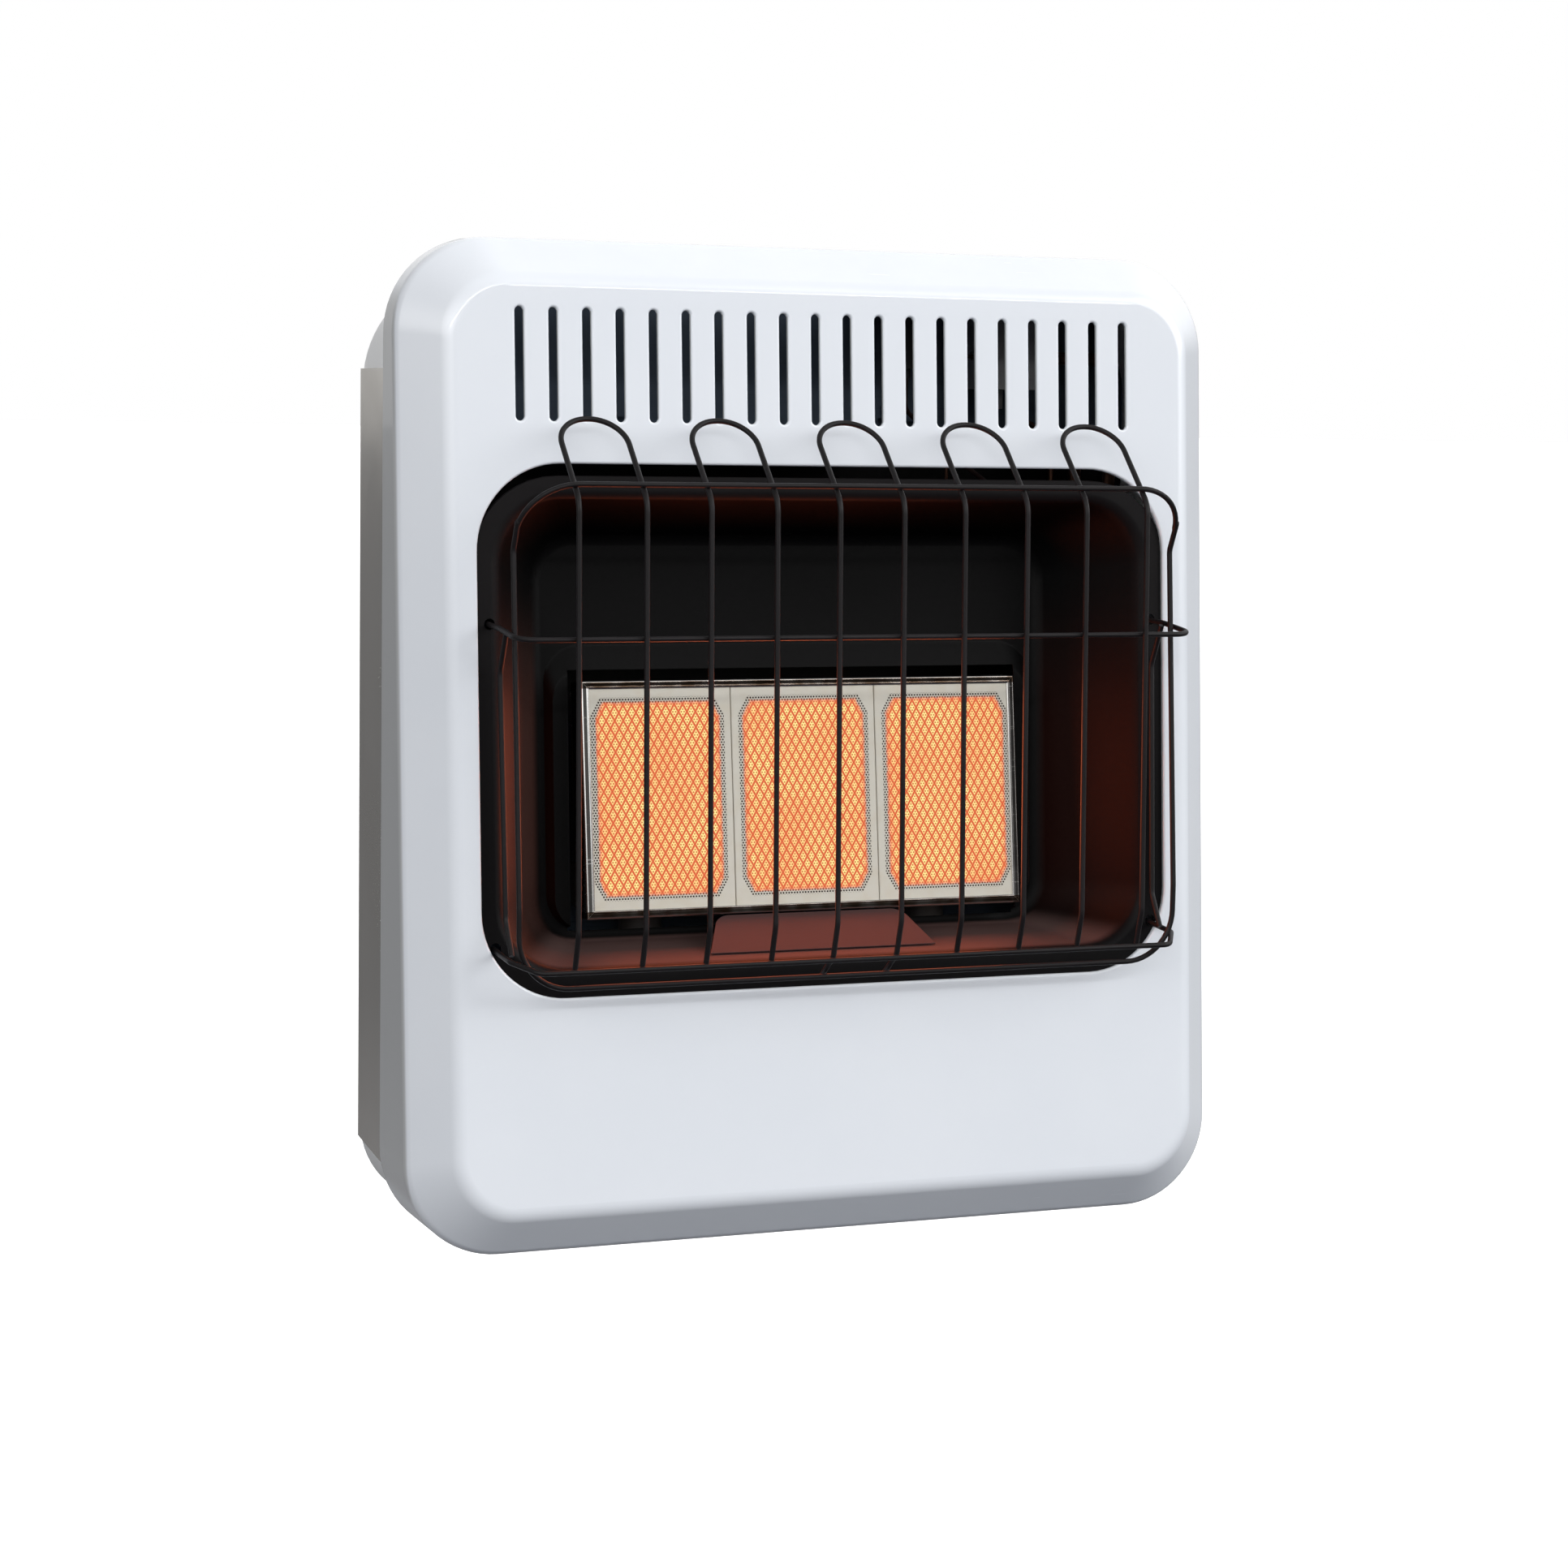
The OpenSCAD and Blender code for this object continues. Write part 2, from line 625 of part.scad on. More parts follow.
module reflector_bowl() {
    color(soot) hung() difference() {
        union() {
            leaning() stand(flange_d, bowl_t)
                rounded(mouth_w + 2 * flange_w, flange_low, flange_high, window_r + 2);
            bowl_block(bowl_t);
        }
        difference() {
            bowl_block(0);
            bowl_panel(0);
        }
        bowl_panel(bowl_t);
        leaning() {
            stand(bowl_back_d - panel_rise - cut, panel_rise + bowl_t + 2 * cut)
                rounded(bezel_out_w + 2 * pocket_gap, pocket_low, pocket_high, 6);
            for (s = [-1, 1]) {
                hook_hole(s * hook_x, hook_middle_h);
                hook_hole(s * (hook_x - bottom_hook_in), hook_bottom_h);
            }
            stand(0, bowl_back_d) rounded(pilot_gap_w, pilot_gap_low, pocket_low + cut, 2);
        }
    }
}
// Heights along the face, from heights above the casing's bottom edge
function up_face(z, d) = (z + d * sin(lean)) / cos(lean);
pocket_low = up_face(burner_mid - bezel_out_h / 2 - pocket_drop, bowl_back_d);
pocket_high = up_face(burner_mid + bezel_out_h / 2 + pocket_gap, bowl_back_d);
hook_middle_h = up_face(middle_hook_z + hook_drop, flange_d);
hook_bottom_h = up_face(bottom_hook_z + hook_drop, flange_d);
pilot_gap_w = 100;
pilot_gap_low = 150;
// Distance from the wall to the flange's front face at height z
function flange_y(z) = rim_low_y - flange_d * cos(lean) - up_face(z, flange_d) * sin(lean);

stay_low = 352;
stay_h = 38;

// Stay that carries a side of the bowl on the rear panel
module bowl_stay(s) {
    tab = 10;
    foot_w = 18;
    back = bowl_back_d + bowl_t + seat;
    color(zinc) hung() scale_x(s) {
        leaning() stand(back, arm_t) translate([stay_x, stay_low + 2]) square([tab, stay_h]);
        intersection() {
            translate([stay_x, -80, stay_low]) cube([arm_t, 80 - rear_face_y - seat, stay_h]);
            leaning() translate([stay_x - cut, back, stay_low - 20]) cube([arm_t + 2 * cut, 80, stay_h + 40]);
        }
        translate([stay_x, -rear_face_y - seat - arm_t, stay_low]) cube([foot_w, arm_t, stay_h]);
    }
}
module bowl_stay_left() bowl_stay(-1);
module bowl_stay_right() bowl_stay(1);

// --- burner --------------------------------------------------------------------------------------

module plaque(i) {
    color("bisque") hung() at_burner() translate([(i - 1) * plaque_pitch, 0, 0])
        stand(plaque_front, plaque_t) rounded_centred(plaque_w, plaque_h, 1.5);
}
module plaque_left() plaque(0);
module plaque_middle() plaque(1);
module plaque_right() plaque(2);

module burner_bezel() {
    color("lightgray") hung() at_burner() {
        stand(0, bezel_t) difference() {
            rounded_centred(bezel_out_w, bezel_out_h, 1);
            rounded_centred(bezel_out_w - 2 * bezel_w, bezel_out_h - 2 * bezel_w, 1);
        }
        stand(0, bezel_d) difference() {
            rounded_centred(bezel_out_w, bezel_out_h, 1);
            rounded_centred(bezel_out_w - 2 * bezel_t, bezel_out_h - 2 * bezel_t, 0.5);
        }
    }
}

module burner_gasket() {
    color("whitesmoke") hung() at_burner() {
        stand(plaque_front, plaque_t + gasket_t) difference() {
            rounded_centred(stack_w - 2 * seat, stack_h, 0.5);
            rounded_centred(stack_w - 2 * side_gap + 2 * seat, plaque_h + 2 * seat, 0.5);
        }
        stand(plaque_front + plaque_t + seat, gasket_t - seat) difference() {
            rounded_centred(stack_w - 2 * seat, stack_h, 0.5);
            for (x = mixer_x) translate([x, 0]) rounded_centred(plaque_w - 12, plaque_h - 12, 4);
        }
    }
}

module burner_box() {
    mouth = stack_back + seat;
    color("dimgray") hung() at_burner() difference() {
        union() {
            stand(mouth, plenum_flange_t) rounded_centred(stack_w - 2 * seat, stack_h, 1);
            stand(mouth, plenum_back - mouth) rounded_centred(plenum_w, plenum_h, 6);
        }
        stand(mouth - cut, plenum_back - mouth + cut - plenum_wall)
            rounded_centred(plenum_w - 2 * plenum_wall, plenum_h - 2 * plenum_wall, 5);
        for (x = mixer_x) at_mixer(x) cylinder(d = mixer_d + 2 * seat, h = mixer_top - mixer_low + cut);
    }
}

// Upright axis of a mixer tube, seen from the burner's tilted frame.
module at_mixer(x) rotate([burner_tilt, 0, 0]) translate([x, burner_y - mixer_y, mixer_low - burner_mid])
    children();

// Venturi tube that carries gas and air up into the plenum
module mixer_tubes() {
    wall = 1.2;
    horn = 7;                       // flare of the tube's mouth on each side
    r = mixer_d / 2;
    len = mixer_top - mixer_low;
    color("darkgray") hung() for (x = mixer_x) translate([x, -mixer_y, mixer_low]) rotate_extrude()
        polygon([[r + horn - wall, 0], [r + horn, 0], [r, 16], [r, len], [r - wall, len], [r - wall, 16]]);
}
mixer_top = burner_mid - plenum_h / 2 + 26;

// Level rod or bore along the manifold's axis, from x0 to x1
module level_rod(x0, x1, d) translate([x0, -mixer_y, manifold_z]) rotate([0, 90, 0])
    cylinder(d = d, h = x1 - x0);

module manifold() {
    end = manifold_len / 2;
    boss_d = 14;
    tap_d = 6;
    color(zinc) hung() difference() {
        union() {
            level_rod(-end, end, manifold_d);
            for (x = mixer_x) rod(x, -mixer_y, manifold_z, manifold_z + manifold_d / 2 + 2, boss_d);
        }
        level_rod(-end + 3, end - 10, manifold_d - 4);
        level_rod(end - 12, end + cut, pipe_d + 2 * seat);
        for (x = mixer_x) rod(x, -mixer_y, manifold_z, manifold_z + manifold_d, tap_d + 2 * seat);
    }
}

module gas_orifices() {
    top = manifold_z + manifold_d / 2 + 2 + seat;
    color(brass) hung() for (x = mixer_x) difference() {
        union() {
            rod(x, -mixer_y, top - 6, top + 1, 6);
            hex(x, -mixer_y, top, top + 5, 10);
            rod(x, -mixer_y, top + 5, top + orifice_len, orifice_d - 2);
        }
        rod(x, -mixer_y, top - 6 - cut, top + 8, 3);
        rod(x, -mixer_y, top, top + orifice_len + cut, 1.2);
    }
}

arm_x = plenum_w / 2 + seat;
arm_t = 1.5;
arm_h = 80;

// Arm that carries the burner's end and stands on the rear panel
module burner_bracket(s) {
    foot_y = rear_face_y + seat;
    arm_front = 68;
    foot_w = 24;
    color(zinc) hung() scale_x(s) difference() {
        union() {
            translate([arm_x, -arm_front, burner_mid - arm_h / 2]) cube([arm_t, arm_front - foot_y, arm_h]);
            translate([arm_x, -foot_y - arm_t, burner_mid - arm_h / 2]) cube([foot_w, arm_t, arm_h]);
        }
        for (z = [-25, 25]) translate([arm_x + 15, cut, burner_mid + z]) rotate([90, 0, 0])
            cylinder(d = 4.5, h = foot_y + arm_t + 2 * cut);
    }
}
module burner_bracket_left() burner_bracket(-1);
module burner_bracket_right() burner_bracket(1);

// --- pilot ---------------------------------------------------------------------------------------

deflector_top = [103.6, 186.4];         // distance from the wall and height of its upper edge
deflector_foot = [128.2, 168];          // and of its lower edge
deflector_top_w = 118;
deflector_foot_w = 144;
deflector_slope = (deflector_top[1] - deflector_foot[1]) / (deflector_foot[0] - deflector_top[0]);

// Sloped plate in front of the pilot, with round upper corners
module pilot_deflector() {
    reach = norm(deflector_top - deflector_foot);
    r = 9;
    half = deflector_top_w / 2;
    foot = deflector_foot_w / 2;
    flare = 2.6;
    color(soot) hung() translate([0, -deflector_foot[0], deflector_foot[1]])
        rotate([atan(deflector_slope), 0, 0]) translate([0, 0, -sheet_t]) linear_extrude(sheet_t) {
            polygon([[-foot, 0], [foot, 0], [half + flare, reach - r], [-half - flare, reach - r]]);
            translate([-half + r - flare, reach - r - seat]) square([2 * (half - r + flare), r + seat]);
            for (s = [-1, 1]) translate([s * (half - r + flare), reach - r]) circle(r);
        }
}

pilot_x = 24;
pilot_y = 108;
pilot_z = 160;                          // underside of the plate that the pilot stands on
pilot_t = 1.5;
pilot_web_y = 84.5;

// Plate that holds the pilot's three pieces, hung from the manifold
module pilot_bracket() {
    tab_y = 116;
    tab_top = deflector_foot[1] + (deflector_foot[0] - tab_y - pilot_t) * deflector_slope
        - 1.3 * sheet_t - play;
    web_low = manifold_z - 6;
    color(zinc) hung() difference() {
        union() {
            translate([-44, -120, pilot_z]) cube([88, 120 - pilot_web_y + pilot_t, pilot_t]);
            translate([-44, -pilot_web_y, web_low + 28])
                cube([88, pilot_t, pilot_z + pilot_t - web_low - 28]);
            for (s = [-1, 1]) translate([s * 36 - 7, -pilot_web_y, web_low]) cube([14, pilot_t, 30]);
            for (s = [-1, 1]) translate([s * 36 - 7, -pilot_web_y, manifold_z - 1])
                cube([14, pilot_web_y - mixer_y - manifold_d / 2 - seat, 2]);
            for (s = [-1, 1]) translate([s * 40 - 3, -tab_y - pilot_t, pilot_z])
                cube([6, pilot_t, tab_top - pilot_z]);
        }
        rod(pilot_x, -pilot_y, pilot_z - cut, pilot_z + 3, 8 + 2 * seat);
        for (x = [-pilot_x, 0]) rod(x, -pilot_y, pilot_z - cut, pilot_z + 3, 5 + 2 * seat);
    }
}

module pilot_burner() {
    color(brass) hung() difference() {
        union() {
            rod(pilot_x, -pilot_y, pilot_z - 16, pilot_z + 12, 8);
            rod(pilot_x, -pilot_y, pilot_z + pilot_t + seat, pilot_z + 6, 12);
            hex(pilot_x, -pilot_y, pilot_z - 12, pilot_z - 5, 11);
        }
        rod(pilot_x, -pilot_y, pilot_z - 16 - cut, pilot_z - 8, pilot_pipe_d + 2 * seat);
        rod(pilot_x, -pilot_y, pilot_z - 4, pilot_z + 12 + cut, 5);
    }
}

module spark_electrode() {
    tip_z = pilot_z + 14;
    color("white") hung() {
        rod(0, -pilot_y, pilot_z - 14, pilot_z + 8, 5);
        rod(0, -pilot_y, pilot_z + pilot_t + seat, pilot_z + 4, 9);
        rod(0, -pilot_y, pilot_z + 7, tip_z, 2);
        translate([0, -pilot_y, tip_z]) rotate([0, 90, 0]) cylinder(d = 2, h = 12);
        translate([0, -pilot_y, tip_z]) sphere(d = 2);
    }
}

module thermocouple() {
    color(brass) hung() {
        rod(-pilot_x, -pilot_y, pilot_z - 20, pilot_z + 8, 5);
        hex(-pilot_x, -pilot_y, pilot_z - 8, pilot_z - seat, 9);
        rod(-pilot_x, -pilot_y, pilot_z + 7, pilot_z + 16, 3.4);
    }
}

// --- controls ------------------------------------------------------------------------------------

module control_bracket() {
    x0 = ignitor_x - 22;
    x1 = control_x + 34;
    color(zinc) hung() difference() {
        union() {
            translate([x0, -70, shelf_z - shelf_t]) cube([x1 - x0, 70 - rear_face_y - seat, shelf_t]);
            translate([x0, -rear_face_y - seat - shelf_t, shelf_z - 34]) cube([x1 - x0, shelf_t, 34]);
        }
        rod(control_x, -control_y, shelf_z - 4, shelf_z + cut, bonnet_d + 2 * play);
        rod(ignitor_x, -control_y, shelf_z - 4, shelf_z + cut, ignitor_d + 2 * play);
    }
}

valve_low = shelf_z - shelf_t - seat - valve_h;
outlet_h = 12;                  // length of the outlets under the valve
burner_outlet_x = control_x - 8;
pilot_outlet_x = control_x + 12;
inlet_h = 20;                   // height of the side inlets above the valve's bottom
bore_low = shelf_z - shelf_t - 21;

module gas_valve() {
    top = valve_low + valve_h;
    color("darkgray") hung() difference() {
        union() {
            translate([control_x - valve_w / 2, -control_y - valve_depth / 2, valve_low])
                cube([valve_w, valve_depth, valve_h]);
            rod(control_x, -control_y, top - cut, bonnet_top - neck_h, bonnet_d);
            rod(control_x, -control_y, top, bonnet_top, neck_d);
            rod(burner_outlet_x, -control_y, valve_low - outlet_h, valve_low + cut, 16);
            rod(pilot_outlet_x, -control_y, valve_low - outlet_h, valve_low + cut, 10);
        }
        rod(control_x, -control_y, bore_low, bonnet_top + cut, spindle_d + 2 * slide_play);
        rod(burner_outlet_x, -control_y, valve_low - outlet_h - cut, valve_low, pipe_d + 2 * seat);
        rod(pilot_outlet_x, -control_y, valve_low - outlet_h - cut, valve_low, pilot_pipe_d + 2 * seat);
        translate([control_x + valve_w / 2 - 10, -control_y, valve_low + inlet_h]) rotate([0, 90, 0])
            cylinder(d = pipe_d + 2 * seat, h = 10 + cut);
        translate([control_x - valve_w / 2 - cut, -control_y, valve_low + inlet_h]) rotate([0, 90, 0])
            cylinder(d = 5, h = 8 + cut);
    }
}

// Collar that goes down with the knob but doesn't turn: its skirt slides on the bonnet's neck
module push_collar() {
    color(zinc) hung() difference() {
        rod(control_x, -control_y, collar_z - collar_skirt, collar_z + collar_h, collar_od);
        rod(control_x, -control_y, collar_z - collar_skirt - cut, collar_z, neck_d + 2 * slide_play);
        rod(control_x, -control_y, collar_z - cut, collar_z + collar_h + cut, spindle_d + 2 * slide_play);
    }
}

module valve_spindle() {
    flange_z = collar_z + collar_h + seat;
    color(brass) hung() {
        rod(control_x, -control_y, bore_low + knob_travel + play, knob_z + knob_h - 4, spindle_d);
        rod(control_x, -control_y, flange_z, knob_z - seat, 12);
    }
}

module control_knob() {
    grip_w = 9;
    color([0.1, 0.1, 0.11]) hung() difference() {
        union() {
            rod(control_x, -control_y, knob_z, knob_z + 5, knob_d);
            rod(control_x, -control_y, knob_z + 5, knob_z + 7, knob_d - 5);
            intersection() {
                rod(control_x, -control_y, knob_z, knob_z + knob_h, knob_d - 5);
                translate([control_x - grip_w / 2, -control_y - knob_d / 2, knob_z])
                    cube([grip_w, knob_d, knob_h]);
            }
        }
        rod(control_x, -control_y, knob_z - cut, knob_z + knob_h - 4 + seat, spindle_d + 2 * seat);
        translate([control_x - 0.8, -control_y - knob_d / 2 + 3, knob_z + knob_h - 1])
            cube([1.6, 10, 1 + cut]);
    }
}

module dial_plate() {
    color("silver") hung() difference() {
        rod(control_x, -control_y, cabinet_top + seat, cabinet_top + seat + dial_t, dial_d);
        rod(control_x, -control_y, cabinet_top - cut, cabinet_top + dial_t + cut, collar_od + 4);
    }
}

ignitor_top = cabinet_top + 4;
ignitor_low = ignitor_top - ignitor_len - 6;    // end of the terminal
ignitor_bore = 26;
stem_d = button_d - 4;

module ignitor_body() {
    color([0.15, 0.15, 0.16]) hung() difference() {
        union() {
            rod(ignitor_x, -control_y, ignitor_top - ignitor_len, ignitor_top - 2, ignitor_d);
            rod(ignitor_x, -control_y, cabinet_top + seat, ignitor_top, ignitor_d + 8);
            rod(ignitor_x, -control_y, ignitor_low, ignitor_top - ignitor_len + cut, 5);
        }
        rod(ignitor_x, -control_y, ignitor_top - ignitor_bore, ignitor_top + cut, stem_d + 2 * play);
        rod(ignitor_x, -control_y, ignitor_low - cut, ignitor_low + 6, 3);
    }
}

module ignitor_nut() {
    color(zinc) hung() difference() {
        hex(ignitor_x, -control_y, cabinet_top - sheet_t - 6, cabinet_top - sheet_t - seat, 22);
        rod(ignitor_x, -control_y, cabinet_top - 10, cabinet_top, ignitor_d + 2 * seat);
    }
}

module ignitor_button() {
    rest = ignitor_top + button_travel + play;
    stem = 22;
    color([0.1, 0.1, 0.11]) hung() {
        rod(ignitor_x, -control_y, rest - stem, rest, stem_d);
        rod(ignitor_x, -control_y, rest - seat, rest + 3, button_d);
        rod(ignitor_x, -control_y, rest + 3 - seat, rest + 4.2, button_d - 2.4);
    }
}

// --- gas line ------------------------------------------------------------------------------------

stub_low = regulator_z - regulator_d / 2 - 8;   // lower end of the regulator's inlet stub

module regulator() {
    color("darkgray") hung() difference() {
        union() {
            translate([regulator_x, -regulator_y + regulator_h / 2, regulator_z]) rotate([90, 0, 0])
                cylinder(d = regulator_d, h = regulator_h);
            translate([regulator_x, -regulator_y - regulator_h / 2 + 1, regulator_z]) rotate([90, 0, 0])
                cylinder(d = regulator_d - 20, h = 9);
            rod(regulator_x, -regulator_y, stub_low, regulator_z, 22);
            translate([regulator_x, -regulator_y, regulator_z]) rotate([0, 90, 0])
                cylinder(d = 18, h = regulator_d / 2 + 8);
        }
        rod(regulator_x, -regulator_y, stub_low - cut, regulator_z - 16, 12 + 2 * seat);
        translate([regulator_x + 18, -regulator_y, regulator_z]) rotate([0, 90, 0])
            cylinder(d = pipe_d + 2 * seat, h = regulator_d / 2);
    }
}

module regulator_bracket() {
    y1 = -regulator_y + regulator_h / 2 + seat;
    color(zinc) hung() {
        translate([regulator_x - 18, y1, regulator_z - 14]) cube([36, 1.5, 28]);
        translate([regulator_x - 18, y1, regulator_z + 14]) cube([36, -rear_face_y - seat - y1, 1.5]);
        translate([regulator_x - 18, -rear_face_y - seat - 1.5, regulator_z + 14]) cube([36, 1.5, 18]);
    }
}

// Flare fitting that the gas supply is screwed to, pointing down
module inlet_fitting() {
    body_top = stub_low - seat;
    color(brass) hung() difference() {
        union() {
            rod(regulator_x, -regulator_y, inlet_low, inlet_low + inlet_thread_len, inlet_thread_d);
            rod(regulator_x, -regulator_y, inlet_low + inlet_thread_len, body_top - 8, inlet_thread_d - 2);
            hex(regulator_x, -regulator_y, body_top - 8, body_top, 21);
            rod(regulator_x, -regulator_y, body_top - cut, regulator_z - 17, 12);
        }
        rod(regulator_x, -regulator_y, inlet_low - cut, regulator_z - 17 + cut, 6);
    }
}

module pipe(p, r, d = pipe_d) sweep(spaced(route(p, [for (i = [0:len(p) - 1]) r])), d / 2, pipe_sides);

supply_jog = [150, 170];                // heights between which the supply pipe goes nearer to the room
supply_bend = 16;
burner_turns = [472, 458, 130, 112];    // heights at which the burner's pipe turns
burner_bend = 12;
pilot_turns = [482, 468, 140, 130, 118];
pilot_run_y = 29;                       // distance from the wall to the pilot pipe's upright run
lead_turns = [485, 461, 420, 140, 124, 112];
lead_run_y = 30;
lead_step = [26, 70];                   // how far the lead turns in below its run, and where in depth
lead_d = 2.8;
capillary_turns = [430, 400, 150, 134, 104];
capillary_run_y = 34;
capillary_step = [10, 96];
capillary_d = 2.4;
slack_x = ignitor_x + 30;               // where both leads pass between the valve and the ignitor
lead_bend = 8;

module supply_pipe() {
    z1 = valve_low + inlet_h;
    color(copper) hung() pipe([[regulator_x + 18 + 4, -regulator_y, regulator_z],
        [riser_x, -regulator_y, regulator_z], [riser_x, -regulator_y, supply_jog[0]],
        [riser_x, -control_y, supply_jog[1]], [riser_x, -control_y, z1],
        [control_x + valve_w / 2 - 9, -control_y, z1]], supply_bend);
}

module burner_pipe() {
    x0 = burner_outlet_x;
    x1 = burner_riser_x;
    color(copper) hung() pipe([[x0, -control_y, valve_low - 3], [x0, -control_y, burner_turns[0]],
        [x1, -control_y, burner_turns[1]], [x1, -control_y, burner_turns[2]],
        [x1, -mixer_y, burner_turns[3]], [x1, -mixer_y, manifold_z],
        [manifold_len / 2 - 10, -mixer_y, manifold_z]], burner_bend);
}

// Thin line whose corners all have the leads' bend, but for the first one
module thin_line(p, d, first_bend) {
    radii = [for (i = [0:len(p) - 1]) i == 0 || i == len(p) - 1 ? 0 : i == 1 ? first_bend : lead_bend];
    sweep(spaced(route(p, radii)), d / 2, 8);
}

module pilot_pipe() {
    x0 = pilot_outlet_x;
    x1 = pilot_riser_x;
    y1 = -pilot_run_y;
    t = pilot_turns;
    color(copper) hung() thin_line([[x0, -control_y, valve_low - 3], [x0, -control_y, t[0]], [x1, y1, t[1]],
        [x1, y1, t[2]], [x1, -pilot_y, t[3]], [pilot_x, -pilot_y, t[4]], [pilot_x, -pilot_y, pilot_z - 9]],
        pilot_pipe_d, 7);
}

// Spark lead from the ignitor to the electrode
module ignition_lead() {
    y1 = -lead_run_y;
    t = lead_turns;
    color([0.75, 0.2, 0.15]) hung() thin_line([[ignitor_x, -control_y, ignitor_low + 1],
        [ignitor_x, -control_y, t[0]], [slack_x, y1, t[1]], [lead_x, y1, t[2]], [lead_x, y1, t[3]],
        [lead_x - lead_step[0], -lead_step[1], t[4]], [0, -pilot_y, t[5]],
        [0, -pilot_y, pilot_z - 14 - seat]], lead_d, lead_bend);
}

// Capillary from the valve to the thermocouple
module thermocouple_lead() {
    z1 = valve_low + inlet_h;
    x0 = control_x - valve_w / 2;
    y1 = -capillary_run_y;
    t = capillary_turns;
    color(copper) hung() thin_line([[x0 + 6, -control_y, z1], [slack_x, -control_y, z1], [slack_x, y1, t[0]],
        [capillary_x, y1, t[1]], [capillary_x, y1, t[2]],
        [capillary_x - capillary_step[0], -capillary_step[1], t[3]], [-pilot_x, -pilot_y, t[4]],
        [-pilot_x, -pilot_y, pilot_z - 20 - seat]], capillary_d, lead_bend);
}

// --- guard ---------------------------------------------------------------------------------------

module guard_frame_wire() {
    x = guard_side_x;
    right = [at(0, frame_top), at(x, frame_top), at(x, frame_step), at(x, frame_shoulder),
        at(x, frame_waist), at(x, frame_low)];
    radii = [0, 32, 8, 8, 30, 30];
    loop = spaced(route(concat(right, mirrored(right)), concat(radii, reversed(radii))));
    color(soot) hung() sweep([for (i = [0:len(loop) - 2]) loop[i]], wire_d / 2, wire_sides, closed = true);
}

// Wire across the guard whose ends are hooked into the flange
module hooked_wire(end_x, end_z, leg_x, leg, front_x, front, radii) {
    right = [[end_x, -flange_y(end_z) + hook_back, end_z], at(leg_x, leg), at(front_x, front)];
    color(soot) hung() wire(concat(right, mirrored(right)), concat(radii, reversed(radii)));
}

module guard_middle_wire()
    hooked_wire(hook_x, middle_hook_z, hook_x, middle_leg, hook_x, middle_front, [0, 10, 12]);

module guard_bottom_wire() hooked_wire(hook_x - bottom_hook_in, bottom_hook_z, hook_x - bottom_hook_in,
    bottom_leg, bottom_front_x, bottom_front, [0, 7, 8]);

// Upright that ties the hooks of the middle and the bottom wire, on each side
module guard_side_wires() {
    x = hook_x - wire_d - wire_gap;
    x1 = x - bottom_hook_in - wire_gap;
    color(soot) hung() for (s = [-1, 1]) wire([at(s * x, tie_top), at(s * x, tie_high), at(s * x1, tie_low),
        at(s * x1, tie_foot)], [0, 10, 10, 0]);
}

module guard_hairpin(i) {
    half = hairpin_w / 2;
    mid = (i - (hairpin_count + 1) / 2) * hairpin_pitch;
    footed = mid == 0;
    start = footed ? [hairpin_foot, hairpin_low] : [hairpin_low];
    low_r = footed ? [0, 7] : [0];
    leg = [for (p = concat(start, [hairpin_chin, hairpin_brow, hairpin_tip])) at(-half, p)];
    other = mirrored(leg);
    radii = concat(low_r, [12, 16, half - 0.4]);
    color(soot) hung() translate([mid, 0, 0]) wire(concat(leg, other), concat(radii, reversed(radii)));
}
module guard_hairpin_1() guard_hairpin(1);
module guard_hairpin_2() guard_hairpin(2);
module guard_hairpin_3() guard_hairpin(3);
module guard_hairpin_4() guard_hairpin(4);
module guard_hairpin_5() guard_hairpin(5);

module casing_screws() {
    color(zinc) hung() for (x = screw_xs) {
        rod(x, -screw_y, -2, -seat, 7.5);
        rod(x, -screw_y, -0.2, 7, casing_screw_d - 2 * seat);
    }
}

front_casing();
cabinet_band();
rear_panel();
side_skin_left();
side_skin_right();
wall_bracket();
heat_shield();
top_baffle();
reflector_bowl();
burner_box();
burner_gasket();
plaque_left();
plaque_middle();
plaque_right();
burner_bezel();
pilot_deflector();
manifold();
gas_orifices();
mixer_tubes();
burner_bracket_left();
burner_bracket_right();
pilot_bracket();
pilot_burner();
spark_electrode();
thermocouple();
gas_valve();
valve_spindle();
push_collar();
control_knob();
dial_plate();
ignitor_body();
ignitor_nut();
ignitor_button();
control_bracket();
regulator();
regulator_bracket();
inlet_fitting();
supply_pipe();
burner_pipe();
pilot_pipe();
ignition_lead();
thermocouple_lead();
guard_frame_wire();
guard_middle_wire();
guard_bottom_wire();
guard_side_wires();
guard_hairpin_1();
guard_hairpin_2();
guard_hairpin_3();
guard_hairpin_4();
guard_hairpin_5();
casing_screws();
bowl_stay_left();
bowl_stay_right();
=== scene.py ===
"""Looks of a wall mounted gas heater: enamelled casing, black bowl, glowing plaques and wire guard.

Everything is in metres in the heater's own frame: +Z up, +X to the right seen from the front, the
front faces -Y, and the origin is the middle of the bracket's screw line on the wall.
"""

from __future__ import annotations

import json
import logging
import math
from collections.abc import Callable, Sequence
from dataclasses import dataclass, replace
from enum import Enum, StrEnum

import bmesh
import bpy
from bpy.types import Material, Node, NodeSocket, Object
from mathutils import Euler, Matrix, Vector

